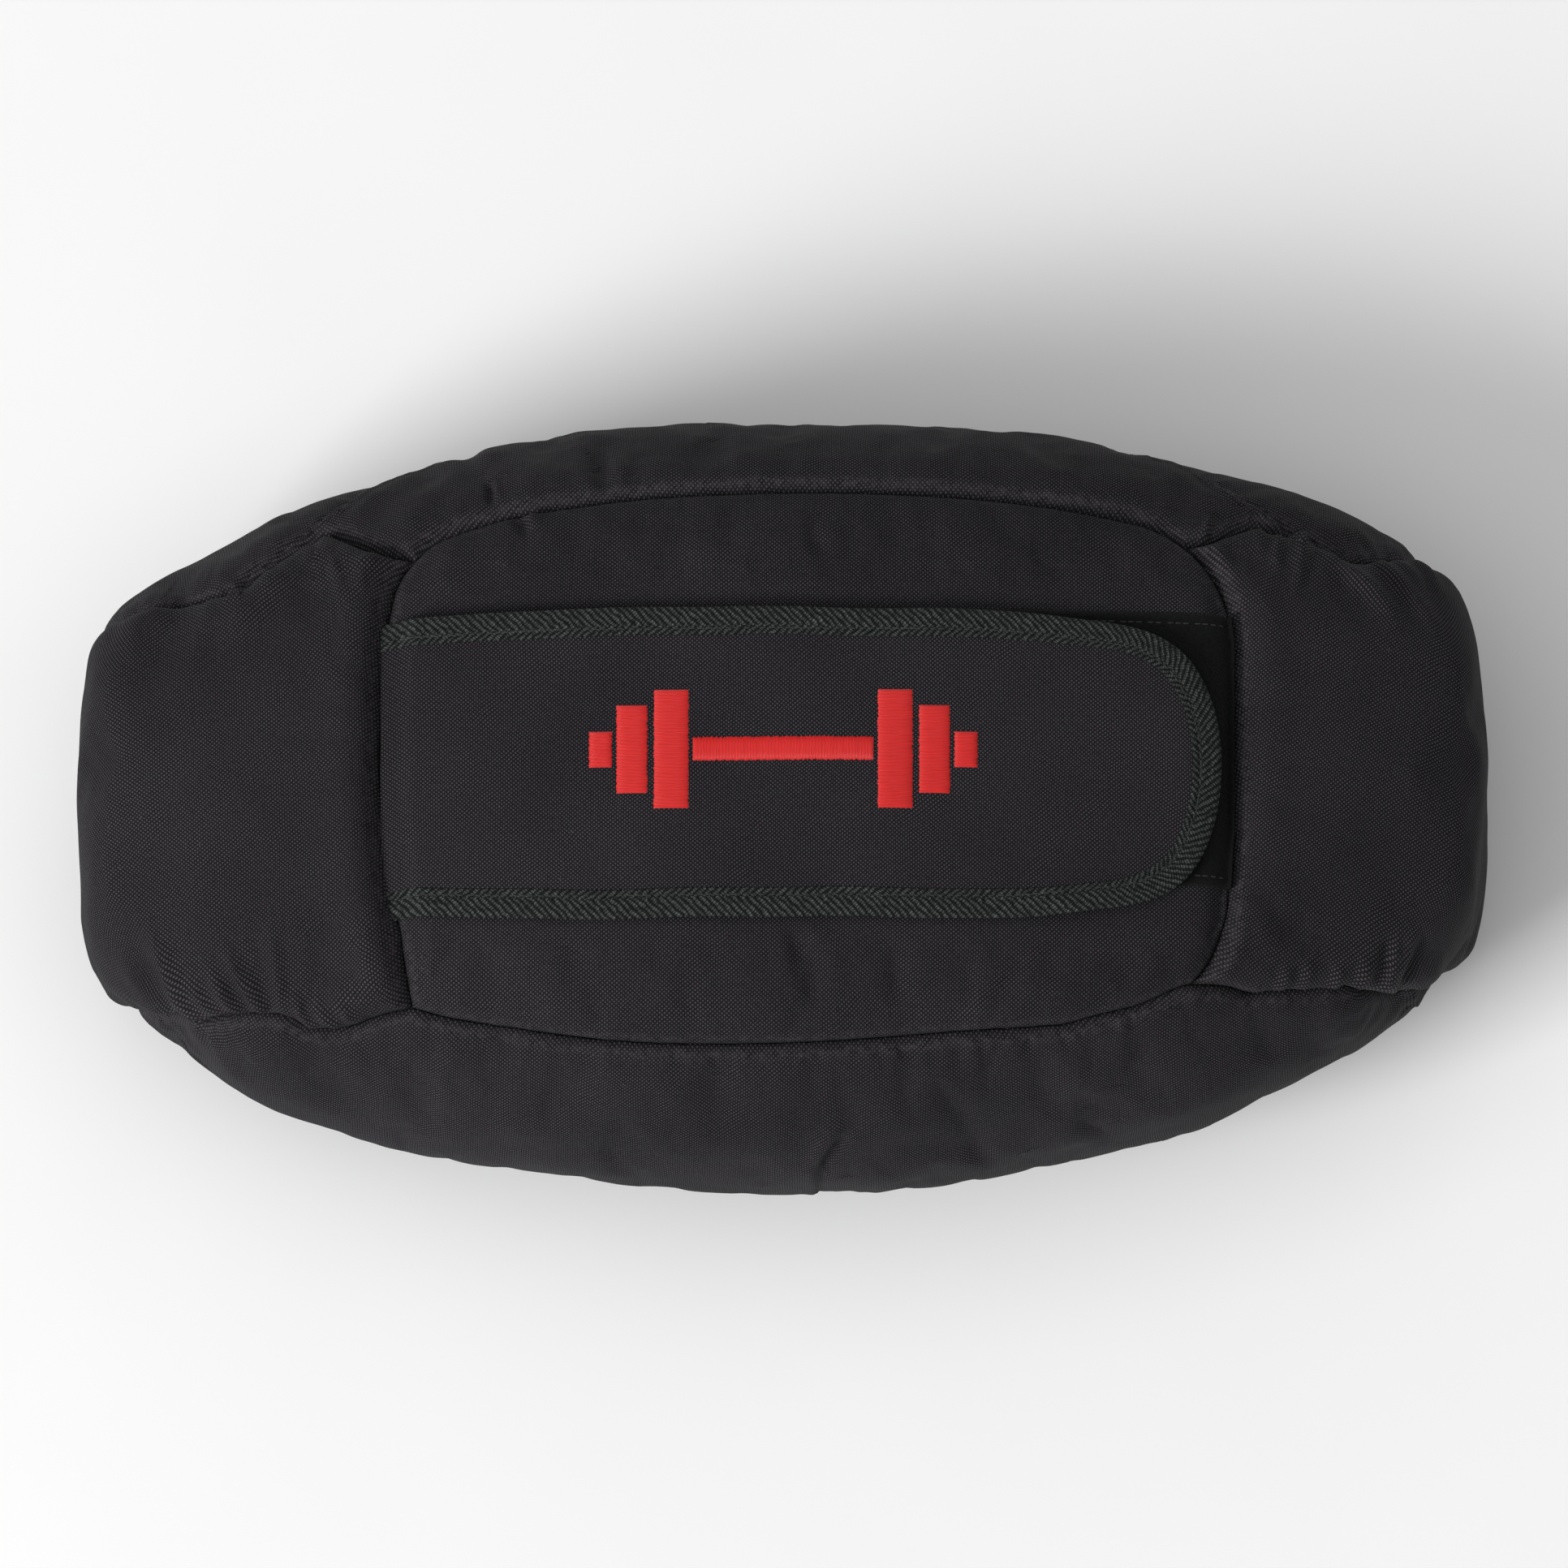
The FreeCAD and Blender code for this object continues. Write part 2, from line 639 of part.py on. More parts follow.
def make_emblem():
    """Satin-stitched bars that draw a dumb-bell on the flap's face."""
    length, height, centre = cell("emblem_length"), cell("emblem_height"), cell("emblem_middle")
    plan = new_body("emblem_plan")
    for middle, width, tall in EMBLEM_BARS:
        sketch = new_sketch(plan, "XY_Plane", cell("crown_height") / 2)
        left = length * (middle - width / 2)
        right = length * (middle + width / 2)
        half = height * (tall / 2)
        add_rectangle(sketch, left, right, centre - half, centre + half)
        pad(plan, sketch, cell("far"))
    thread = strip(
        "thread", cell("face_high"), cell("emblem_high"), -length / 2, length / 2,
        height + cell("slack"), centre,
    )
    node(common(thread, plan, "embroidery"), "flap_emblem")


def make_loop_patch():
    patch = strip(
        "loop", cell("loop_low"), cell("loop_high"),
        cell("loop_left"), cell("loop_right"), cell("loop_half") * 2, cell("loop_middle"),
    )
    node(patch, "loop_patch")


# The zip, whose slider runs along the crown

def turned(body, along):
    """Turn a crown body about the crown's centre, so that what stands at its top is at this place."""
    angle = (as_size(along) / cell("crown_radius")).arcsine()
    body.Placement.Rotation = FreeCAD.Rotation(FreeCAD.Vector(0, 1, 0), angle.value)
    body.setExpression("Placement.Rotation.Angle", angle.text)


def make_zip_tapes():
    left, right = cell("slot_left") - cell("tape_margin"), cell("slot_right") + cell("tape_margin")
    width = cell("tape_outer") - cell("tape_inner")
    middle = (cell("tape_outer") + cell("tape_inner")) / 2
    for side, sign in (("upper", 1), ("lower", -1)):
        tape = strip(f"tape_{side}", cell("tape_low"), cell("tape_high"), left, right, width, middle * sign)
        node(tape, f"zipper_tape_{side}")


def make_zip_teeth():
    radius, pitch = cell("crown_radius"), cell("tooth_pitch")
    last = cell("slot_right") - cell("stop_length") - cell("stop_margin") * 2
    run = last - cell("teeth_left")
    count = int(run.value / pitch.value)
    width = cell("tooth_outer") - cell("tooth_inner")
    middle = (cell("tooth_outer") + cell("tooth_inner")) / 2
    half = cell("tooth_length") / 2
    for side, sign, shift in (("upper", 1, 0), ("lower", -1, 0.5)):
        body = crown_body(f"teeth_{side}")
        turned(body, cell("teeth_left") + pitch * shift)
        sketch = new_sketch(body, "XZ_Plane", -(middle * sign))
        add_rectangle(sketch, -half, half, radius + cell("tooth_low"), radius + cell("tooth_high"))
        tooth = pad(body, sketch, width, symmetric=True)
        row = body.newObject("PartDesign::PolarPattern", "row")
        row.Originals = [tooth]
        row.Axis = (plane_of(body, "Y_Axis"), [""])
        row.Occurrences = count
        row.setExpression("Angle", ((pitch * (count - 1)) / radius * (180 / math.pi)).text)
        body.Tip = row
        node(body, f"zipper_teeth_{side}")


def make_zip_stops():
    """One stop over both tapes at the far end, and one on each tape at the closed end."""
    body = crown_body("stops")
    radius, low, high = cell("crown_radius"), cell("tooth_low"), cell("tooth_high")
    length = cell("stop_length")
    far_end = cell("slot_left") + cell("stop_margin")
    near_end = cell("slot_right") - cell("stop_margin") - length
    width = cell("tooth_outer") - cell("tooth_inner")
    middle = (cell("tooth_outer") + cell("tooth_inner")) / 2
    for left, size, place in (
        (far_end, cell("tooth_outer") * 2, 0), (near_end, width, middle), (near_end, width, -middle)
    ):
        sketch = new_sketch(body, "XZ_Plane", -as_size(place))
        drop = (radius.squared() - left.squared()).root() - radius
        add_rectangle(sketch, left, left + length, radius + low + drop, radius + high + drop)
        pad(body, sketch, size, symmetric=True)
    node(body, "zipper_stops")


def make_slider():
    radius, half = cell("crown_radius"), cell("slider_length") / 2
    side, wall, post = cell("slider_half"), cell("slider_wall"), cell("post_width") / 2
    roof, floor = radius + cell("slider_roof"), radius + cell("slider_floor")
    high, low = radius + cell("slider_high"), radius + cell("slider_low")
    body = crown_body("slider")
    turned(body, cell("slider_rest"))
    plates = new_sketch(body, "YZ_Plane")
    for outside, inside, lip in (
        (high, roof, radius + cell("slider_lip_high")), (low, floor, radius + cell("slider_lip_low"))
    ):
        add_polygon(plates, [
            (-side, outside), (side, outside), (side, lip), (side - wall, lip), (side - wall, inside),
            (wall - side, inside), (wall - side, lip), (-side, lip),
        ])
    pad(body, plates, cell("slider_length"), symmetric=True)
    divider = new_sketch(body, "XY_Plane", floor)
    post_end = half - cell("post_margin")
    add_rectangle(divider, post_end - cell("post_length"), post_end, -post, post)
    pad(body, divider, roof - floor)
    node(body, "zipper_slider")


def make_bridge():
    radius, half = cell("crown_radius"), cell("bridge_length") / 2
    base, high = radius + cell("slider_high"), radius + cell("bridge_high")
    under = radius + cell("bridge_under")
    inner = half - cell("bridge_foot")
    body = crown_body("bridge")
    turned(body, cell("slider_rest"))
    arch = new_sketch(body, "XZ_Plane")
    add_polygon(arch, [
        (-half, base), (-inner, base), (-inner, under), (inner, under),
        (inner, base), (half, base), (half, high), (-half, high),
    ])
    pad(body, arch, cell("bridge_width"), symmetric=True)
    node(body, "zipper_bridge")


def make_pull():
    axis, thick = cell("crown_radius") + cell("pull_axis"), cell("pull_thick")
    half, eye, eye_half = cell("pull_half"), cell("pull_eye"), cell("pull_eye_half")
    length, hole = cell("pull_length"), cell("pull_hole")
    body = crown_body("pull")
    turned(body, cell("slider_rest"))
    tab = new_sketch(body, "XY_Plane", axis - thick / 2)
    start = as_size(0)
    add_polygon(tab, [
        (start, -half), (length, -half), (length, half), (start, half),
        (start, eye_half), (eye, eye_half), (eye, -eye_half), (start, -eye_half),
    ])
    circle = tab.addGeometry(Part.Circle(vector(length - hole * 2, 0), FreeCAD.Vector(0, 0, 1), hole.value))
    hold(tab, circle, 3, length - hole * 2, 0)
    drive(tab, hole, "Radius", circle)
    pad(body, tab, thick)
    bar = new_sketch(body, "XZ_Plane")
    circle = bar.addGeometry(Part.Circle(vector(0, axis), FreeCAD.Vector(0, 0, 1), thick.value / 2))
    hold(bar, circle, 3, 0, axis)
    drive(bar, thick / 2, "Radius", circle)
    pad(body, bar, half * 2, symmetric=True)
    node(body, "zipper_pull")


def check_everything():
    """Stop if any object failed, or any sub-part has no sound solid."""
    failed = [thing.Label for thing in doc.Objects if {"Invalid", "Error"} & set(thing.State)]
    if failed:
        raise RuntimeError(f"these objects failed: {failed}")
    for thing in nodes:
        shape = thing.Shape
        if shape.isNull() or not shape.isValid() or not shape.Solids:
            raise RuntimeError(f"{thing.Label} has no sound solid")


make_panels()
make_filling()
make_loop_patch()
make_flap()
make_emblem()
make_zip_tapes()
make_zip_teeth()
make_zip_stops()
make_slider()
make_bridge()
make_pull()
doc.recompute()
check_everything()
os.makedirs("parts", exist_ok=True)
for thing in nodes:
    thing.Shape.exportStep(f"parts/{thing.Label}.step")
    print(f"{thing.Label}: {len(thing.Shape.Solids)} solids, {thing.Shape.Volume / 1000:.2f} cm3")
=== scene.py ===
import json
import math
import random

import bmesh
import bpy
import numpy as np
from mathutils import Vector, noise
from mathutils.bvhtree import BVHTree
from mathutils.kdtree import KDTree

# A filled sandbag lying on its back panel. Shapes are worked out in millimetres and made in metres.
# +X runs along the bag, the origin is on the floor under its middle.
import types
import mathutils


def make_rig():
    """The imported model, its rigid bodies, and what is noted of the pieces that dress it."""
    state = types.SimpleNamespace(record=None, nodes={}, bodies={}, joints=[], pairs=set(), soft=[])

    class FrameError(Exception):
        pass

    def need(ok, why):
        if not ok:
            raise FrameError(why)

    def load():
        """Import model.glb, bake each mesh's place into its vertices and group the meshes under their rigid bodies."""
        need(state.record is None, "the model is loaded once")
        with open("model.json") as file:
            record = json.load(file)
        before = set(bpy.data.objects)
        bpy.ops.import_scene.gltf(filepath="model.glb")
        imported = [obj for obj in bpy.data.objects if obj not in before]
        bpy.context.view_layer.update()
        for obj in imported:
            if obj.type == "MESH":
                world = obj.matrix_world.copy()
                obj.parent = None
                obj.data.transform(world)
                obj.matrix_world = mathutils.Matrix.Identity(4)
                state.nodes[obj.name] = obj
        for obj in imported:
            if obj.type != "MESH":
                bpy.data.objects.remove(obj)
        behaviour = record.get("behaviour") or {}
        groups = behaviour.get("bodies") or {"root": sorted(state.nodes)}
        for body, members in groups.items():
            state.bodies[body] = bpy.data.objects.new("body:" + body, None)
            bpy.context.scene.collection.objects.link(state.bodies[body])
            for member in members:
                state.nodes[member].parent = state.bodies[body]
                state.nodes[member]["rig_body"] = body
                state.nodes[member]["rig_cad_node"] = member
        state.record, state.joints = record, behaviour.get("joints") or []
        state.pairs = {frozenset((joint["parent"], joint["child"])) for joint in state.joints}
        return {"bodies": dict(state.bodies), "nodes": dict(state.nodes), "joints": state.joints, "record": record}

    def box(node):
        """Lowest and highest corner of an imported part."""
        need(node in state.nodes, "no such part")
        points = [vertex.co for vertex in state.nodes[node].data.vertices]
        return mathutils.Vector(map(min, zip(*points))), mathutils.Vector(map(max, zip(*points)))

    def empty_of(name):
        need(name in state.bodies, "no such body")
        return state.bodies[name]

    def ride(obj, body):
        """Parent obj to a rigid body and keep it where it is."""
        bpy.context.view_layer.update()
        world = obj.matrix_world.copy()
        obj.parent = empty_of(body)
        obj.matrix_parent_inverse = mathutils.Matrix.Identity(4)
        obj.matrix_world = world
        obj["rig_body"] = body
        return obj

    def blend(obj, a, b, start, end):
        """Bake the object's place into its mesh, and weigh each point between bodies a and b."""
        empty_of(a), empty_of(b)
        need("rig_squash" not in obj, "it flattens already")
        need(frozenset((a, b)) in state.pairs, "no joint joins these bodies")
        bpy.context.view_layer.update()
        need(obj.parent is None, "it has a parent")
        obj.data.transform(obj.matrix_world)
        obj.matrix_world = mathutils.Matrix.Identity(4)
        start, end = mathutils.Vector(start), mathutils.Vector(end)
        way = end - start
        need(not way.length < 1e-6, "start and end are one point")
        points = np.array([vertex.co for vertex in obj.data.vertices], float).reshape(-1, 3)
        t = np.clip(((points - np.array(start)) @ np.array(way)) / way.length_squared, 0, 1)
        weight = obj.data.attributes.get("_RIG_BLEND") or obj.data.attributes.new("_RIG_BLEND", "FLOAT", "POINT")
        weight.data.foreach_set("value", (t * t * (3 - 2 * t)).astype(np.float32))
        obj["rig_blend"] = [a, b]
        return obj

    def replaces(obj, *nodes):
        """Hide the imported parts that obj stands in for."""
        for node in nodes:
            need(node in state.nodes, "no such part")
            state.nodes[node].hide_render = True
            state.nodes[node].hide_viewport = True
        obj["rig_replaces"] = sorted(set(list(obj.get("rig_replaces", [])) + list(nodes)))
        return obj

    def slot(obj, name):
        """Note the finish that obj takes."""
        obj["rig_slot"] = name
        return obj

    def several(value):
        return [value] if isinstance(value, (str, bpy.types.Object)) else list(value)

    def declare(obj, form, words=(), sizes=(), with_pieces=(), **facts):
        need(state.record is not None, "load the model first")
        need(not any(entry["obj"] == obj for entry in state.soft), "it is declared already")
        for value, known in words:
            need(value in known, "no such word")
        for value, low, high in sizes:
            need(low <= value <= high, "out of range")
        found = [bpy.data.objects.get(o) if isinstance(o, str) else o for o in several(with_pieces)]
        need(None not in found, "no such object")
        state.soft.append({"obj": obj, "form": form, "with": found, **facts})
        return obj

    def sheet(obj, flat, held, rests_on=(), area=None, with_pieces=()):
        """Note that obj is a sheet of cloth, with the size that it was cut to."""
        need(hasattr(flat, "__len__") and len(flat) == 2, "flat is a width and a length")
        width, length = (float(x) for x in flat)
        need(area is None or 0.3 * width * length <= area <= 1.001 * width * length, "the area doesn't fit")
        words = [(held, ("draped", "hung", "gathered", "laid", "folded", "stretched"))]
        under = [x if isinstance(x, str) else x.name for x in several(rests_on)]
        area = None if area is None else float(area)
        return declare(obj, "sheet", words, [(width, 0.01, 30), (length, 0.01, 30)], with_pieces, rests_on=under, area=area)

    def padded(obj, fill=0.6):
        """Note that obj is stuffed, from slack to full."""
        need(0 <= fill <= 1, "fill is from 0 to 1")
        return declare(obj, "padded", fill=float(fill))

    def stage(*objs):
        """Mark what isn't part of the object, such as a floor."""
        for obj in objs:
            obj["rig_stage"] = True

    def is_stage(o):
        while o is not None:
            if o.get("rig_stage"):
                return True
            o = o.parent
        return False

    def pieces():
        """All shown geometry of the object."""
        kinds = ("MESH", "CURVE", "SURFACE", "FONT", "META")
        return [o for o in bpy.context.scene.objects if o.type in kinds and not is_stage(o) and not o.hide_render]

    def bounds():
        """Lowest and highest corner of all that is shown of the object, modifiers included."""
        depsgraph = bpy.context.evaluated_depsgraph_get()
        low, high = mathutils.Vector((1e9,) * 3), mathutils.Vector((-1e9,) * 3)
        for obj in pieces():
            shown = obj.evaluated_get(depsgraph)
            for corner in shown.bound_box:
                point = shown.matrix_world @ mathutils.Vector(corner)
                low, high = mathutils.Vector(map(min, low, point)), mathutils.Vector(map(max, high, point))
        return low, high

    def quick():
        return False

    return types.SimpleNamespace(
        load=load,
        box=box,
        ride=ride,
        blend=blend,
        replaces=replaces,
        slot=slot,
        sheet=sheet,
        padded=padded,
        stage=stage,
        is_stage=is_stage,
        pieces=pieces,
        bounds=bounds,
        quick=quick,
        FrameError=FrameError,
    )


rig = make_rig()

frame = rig.load()
cad_low, cad_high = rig.bounds()
scene = bpy.context.scene
MM = 0.001

# The bag's form, as the CAD has it
HALF_LENGTH = (cad_high.x - cad_low.x) / 2 / MM
HALF_WIDTH = (cad_high.y - cad_low.y) / 2 / MM
OUTLINE_AXIS = 311
CROWN_HEIGHT = 193
CROWN_RADIUS = 900
CORNER_SHARE = 0.6
END_LIFT = 30
BASE_TRIM = 2.5
END_ROUND = 10
END_BOW = 6
STRIP_LOW = 24
SLOT = (-141, -1, 6)
# The cloth under the flap stays flat: the middle, half width and ends of that stretch
CLOSURE_MIDDLE, CLOSURE_HALF, CLOSURE_LEFT, CLOSURE_RIGHT = 2, 70, -152, 174
# A height that parts the bag's top from all that lies beneath it
UPPER_SIDE = 150

# The flap's outline and the heights of the closure's layers over the crown
FLAP_ROOT, FLAP_FOLD, FLAP_END, FLAP_HALF = -149, 88, 168, 60
FLAP_SPLIT, BEYOND_TIP, HOOK_START = 77, 400, 25
TIP_CORNER, TIP_BOW = 42, 80
HOOK_LOW, LINING_LOW, LINING_HIGH, FACE_HIGH = 2.5, 4.0, 4.95, 6.2
# The edge tape: its ribs' pitch, where they lean the other way, and the line of its stitches
TAPE_RIB, TAPE_TURN, TAPE_STITCHES = 3.1, 7.6, 8.4
# The loop patch's stitches, from its edge
PATCH_MARGIN = 4.2

# The bag has settled unevenly: how full each side is against the form, at these places along it
SETTLED = (
    (-269, 0.96, 0.95), (-243, 0.955, 0.955), (-219, 0.942, 0.985), (-172, 0.961, 0.974),
    (-125, 0.987, 0.982), (-77, 0.990, 0.982), (0, 0.986, 1.0), (64, 1.0, 0.977), (111, 1.02, 0.956),
    (158, 1.02, 0.925), (182, 1.033, 0.90), (205, 1.05, 0.885), (229, 1.085, 0.905), (253, 1.12, 0.85),
    (269, 1.10, 0.78),
)

# Seams on the top, in plan, from corner to corner
SEAM_TOP = [
    (-142, 85.7), (-136, 91.7), (-126.6, 96.2), (-111, 101.7), (-98, 104.5), (-77, 107.5), (-55, 110.2),
    (-20, 112), (11, 112.7), (42, 112), (73, 110.4), (95, 108.2), (114, 105.4), (136, 101), (146, 97.2),
    (154.7, 91.6),
]
SEAM_RIGHT = [
    (154.7, 91.6), (161, 85.2), (167.2, 75.3), (171, 65.5), (172.9, 51), (173.5, 16), (173.2, -15.5),
    (172, -35), (171, -53.6), (169, -62.8), (165.6, -72), (161, -79.2), (157.5, -83),
]
SEAM_BOTTOM = [
    (157.5, -83), (153, -84.2), (145, -88), (136, -91.8), (128, -93.9), (120, -96), (108, -99.4),
    (89, -101.2), (67, -102.9), (36, -105.6), (11, -107.3), (-20, -108), (-52, -107.3), (-77, -105),
    (-102, -101.3), (-127, -97), (-143, -92.6),
]
SEAM_LEFT = [
    (-143, -92.6), (-145.3, -78.8), (-148.4, -60.7), (-151.6, -44.8), (-154, -22.4), (-155.3, 0),
    (-154.4, 42), (-152.4, 58.3), (-150.3, 71), (-146.2, 80), (-142, 85.7),
]
LEFT_UPPER = [
    (-142, 85.7), (-148.4, 86.8), (-157.8, 90), (-167.2, 95.2), (-172, 98), (-177, 98.8), (-182.8, 96),
    (-192, 90), (-201.6, 81.8), (-207.5, 77), (-213, 76), (-227, 75.5), (-242, 73.9), (-252, 71.7),
    (-330, 66),
]
LEFT_LOWER = [
    (-143, -92.6), (-154.7, -94.7), (-164, -97.6), (-170.3, -98.6), (-178, -98.6), (-184.4, -97.4),
    (-189, -94.4), (-195.3, -92.3), (-208, -91.6), (-223, -91), (-240, -84), (-330, -78),
]
RIGHT_UPPER = [
    (154.7, 91.6), (162.5, 93.4), (167.2, 96), (176.6, 100.3), (183, 101.6), (187.5, 100), (192.5, 98.9),
    (198.4, 99.4), (203.5, 98), (211, 92), (217, 90.2), (226.6, 91.9), (236, 95), (242, 95.5), (330, 96),
]
RIGHT_LOWER = [
    (157.5, -83), (170.3, -83.3), (180, -85.4), (189, -84.1), (214, -81.2), (236, -77.5), (251, -72.2),
    (330, -66),
]
# The back seam's height against distance from the bag's middle, on the far and the near side
BACK_SEAM = [
    (0, 76), (60, 81), (100, 92), (135, 116), (157, 126), (178, 141), (196, 149), (212, 157), (232, 210),
    (400, 400),
]
NEAR_SEAM = [
    (0, 46), (120, 48), (180, 49), (220, 49), (246, 50), (258, 55), (265, 72), (400, 300),
]

FRONT, LEFT_END, RIGHT_END, UPPER, LOWER, BACK, OPENING = range(7)
PANELS = {
    FRONT: "front_panel", LEFT_END: "left_end_panel", RIGHT_END: "right_end_panel",
    UPPER: "upper_gusset", LOWER: "lower_gusset", BACK: "back_panel",
}


def smooth(t):
    t = np.clip(t, 0, 1)
    return t * t * (3 - 2 * t)


def rounded(points, step=2.0):
    """A smooth line through these plan points."""
    pts = np.array(points, float)
    padded = np.vstack([2 * pts[0] - pts[1], pts, 2 * pts[-1] - pts[-2]])
    out = []
    for a, b, c, d in zip(padded, padded[1:], padded[2:], padded[3:]):
        count = max(2, int(np.linalg.norm(c - b) / step))
        for t in np.arange(count) / count:
            out.append(0.5 * (2 * b + (c - a) * t + (2 * a - 5 * b + 4 * c - d) * t * t
                              + (3 * b - a - 3 * c + d) * t ** 3))
    out.append(pts[-1])
    return np.array(out)


def distances_along(line):
    return np.concatenate([[0], np.cumsum(np.linalg.norm(np.diff(line, axis=0), axis=1))])


def half_width(x):
    return HALF_WIDTH * np.sqrt(np.maximum(1 - (x / OUTLINE_AXIS) ** 2, 0.01))


def settled(x, y):
    """How full the bag is at a place, against the form."""
    at, far, near = np.array(SETTLED).T
    return np.where(np.asarray(y) > 0, np.interp(x, at, far), np.interp(x, at, near))


def crown(x):
    return CROWN_HEIGHT - CROWN_RADIUS + np.sqrt(CROWN_RADIUS ** 2 - np.square(x))


def underside(x):
    return END_LIFT * (x / HALF_LENGTH) ** 4 - BASE_TRIM


def form_top(x, y):
    """Height of the form's upper side at a plan place."""
    w = half_width(x)
    r = CORNER_SHARE * w
    over = np.clip(np.abs(y) - (w - r), 0, r)
    return crown(x) - r + np.sqrt(np.maximum(r * r - over * over, 0))


def ring(x, inset, count):
    """A cross-section, as points evenly spaced round it."""
    w = float(half_width(x)) - inset
    top, low = float(crown(x)) - inset, max(float(underside(x)), 0) + inset
    r = min(CORNER_SHARE * w, (top - low) / 2 - 1)
    out = []
    for turn, (cy, cz) in enumerate([(w - r, top - r), (w - r, low + r), (r - w, low + r), (r - w, top - r)]):
        angle = np.radians(90 - 90 * turn - np.linspace(0, 90, 30))
        out.append(np.stack([cy + r * np.cos(angle), cz + r * np.sin(angle)], 1))
    line = np.vstack(out)
    line = np.vstack([line, line[:1]])
    along = distances_along(line)
    at = np.arange(count) / count * along[-1]
    y, z = np.interp(at, along, line[:, 0]), np.interp(at, along, line[:, 1])
    return np.stack([np.full(count, x), y, z], 1)


RING_POINTS, STATIONS = 180, 100


def form_rings(inset):
    """The whole form, bowed at its ends, as rings of points."""
    half = HALF_LENGTH - inset
    edge = [(half - END_ROUND * (1 - math.sin(a)), END_ROUND * (1 - math.cos(a)))
            for a in np.radians(np.linspace(90, 0, 7))]
    outer = [(-x, inset + loss) for x, loss in edge]
    middle = [(x, inset) for x in np.linspace(-(half - END_ROUND), half - END_ROUND, STATIONS)][1:-1]
    outer_right = [(-x, loss) for x, loss in outer[::-1]]
    rings = np.array([ring(x, loss, RING_POINTS) for x, loss in outer + middle + outer_right])
    x, y, z = rings[..., 0], rings[..., 1], rings[..., 2]
    bow = smooth((np.abs(x) - 190) / 80) * ((y / 76) ** 4 * END_BOW + ((z - 88) / 62) ** 2 * 4)
    rings[..., 1] = y * settled(x, y)
    rings[..., 0] = x - np.sign(x) * bow
    return rings


def grid_faces(rows, columns, close_columns=False):
    wide = columns if close_columns else columns - 1
    faces = []
    for row in range(0, (rows - 1) * columns, columns):
        for j in range(wide):
            after = (j + 1) % columns
            faces.append((row + j, row + after, row + columns + after, row + columns + j))
    return faces


def tube_faces(rows, columns):
    """A grid closed into a tube, with a cap at each end."""
    caps = [tuple(range(columns))[::-1], tuple((rows - 1) * columns + j for j in range(columns))]
    return grid_faces(rows, columns, True) + caps


def layered_faces(rows, columns, turned=True):
    """Two grids, one under the other, closed round their rim. Turning the faces splits them along the other
    diagonal."""
    total = rows * columns
    upper = grid_faces(rows, columns)
    lower = [tuple(i + total for i in face) for face in upper]
    if turned:
        upper = [face[::-1] for face in upper]
    else:
        lower = [face[::-1] for face in lower]
    rim = [i * columns for i in range(rows)] + [(rows - 1) * columns + j for j in range(1, columns)]
    rim += [i * columns + columns - 1 for i in range(rows - 2, -1, -1)] + list(range(columns - 2, 0, -1))
    return upper + lower + [(a, b, b + total, a + total) for a, b in zip(rim, rim[1:] + rim[:1])]


def make_object(name, points, faces):
    """A mesh object from points in millimetres."""
    mesh = bpy.data.meshes.new(name)
    mesh.from_pydata((np.asarray(points, float) * MM).tolist(), [], [list(map(int, f)) for f in faces])
    mesh.validate()
    mesh.polygons.foreach_set("use_smooth", [True] * len(mesh.polygons))
    mesh.update()
    thing = bpy.data.objects.new(name, mesh)
    scene.collection.objects.link(thing)
    return thing


def face_outwards(thing):
    bm = bmesh.new()
    bm.from_mesh(thing.data)
    bmesh.ops.recalc_face_normals(bm, faces=bm.faces)
    bm.to_mesh(thing.data)
    bm.free()


def ends_of(mesh):
    """The two points of every edge."""
    out = np.empty(len(mesh.edges) * 2, np.int32)
    mesh.edges.foreach_get("vertices", out)
    return out.reshape(-1, 2)


def points_of(mesh):
    out = np.zeros(len(mesh.vertices) * 3)
    mesh.vertices.foreach_get("co", out)
    return out.reshape(-1, 3) / MM


def normals_of(mesh):
    out = np.zeros(len(mesh.vertices) * 3)
    mesh.vertex_normals.foreach_get("vector", out)
    return out.reshape(-1, 3)


def set_points(mesh, points):
    mesh.vertices.foreach_set("co", (np.asarray(points) * MM).astype(np.float32).ravel())
    mesh.update()


def apply_modifiers(thing):
    mesh = bpy.data.meshes.new_from_object(thing.evaluated_get(bpy.context.evaluated_depsgraph_get()))
    thing.modifiers.clear()
    thing.data = mesh
    return thing


def closed_form(name, inset, voxel):
    """The form at a depth under its outside, as an even mesh of small squares."""
    rings = form_rings(inset)
    rows, columns = rings.shape[:2]
    thing = make_object(name, rings.reshape(-1, 3), tube_faces(rows, columns))
    bm = bmesh.new()
    bm.from_mesh(thing.data)
    bmesh.ops.recalc_face_normals(bm, faces=bm.faces)
    bm.to_mesh(thing.data)
    surface = BVHTree.FromBMesh(bm)
    bm.free()
    remesh = thing.modifiers.new("even", "REMESH")
    remesh.mode = "VOXEL"
    remesh.voxel_size = voxel * MM
    apply_modifiers(thing)
    points = points_of(thing.data)
    near = [surface.find_nearest(Vector(p * MM))[0] for p in points]
    set_points(thing.data, np.array([tuple(p) for p in near]) / MM)
    thing.data.polygons.foreach_set("use_smooth", [True] * len(thing.data.polygons))
    return thing


def field(points, size, seed, octaves):
    """Smooth noise about zero, of this grain in millimetres."""
    out = np.empty(len(points))
    shift = Vector((seed * 17.3, seed * 5.1, seed * 9.7))
    for i, p in enumerate(points / size):
        out[i] = noise.fractal(Vector(p) + shift, 1.0, 2.0, octaves)
    return out


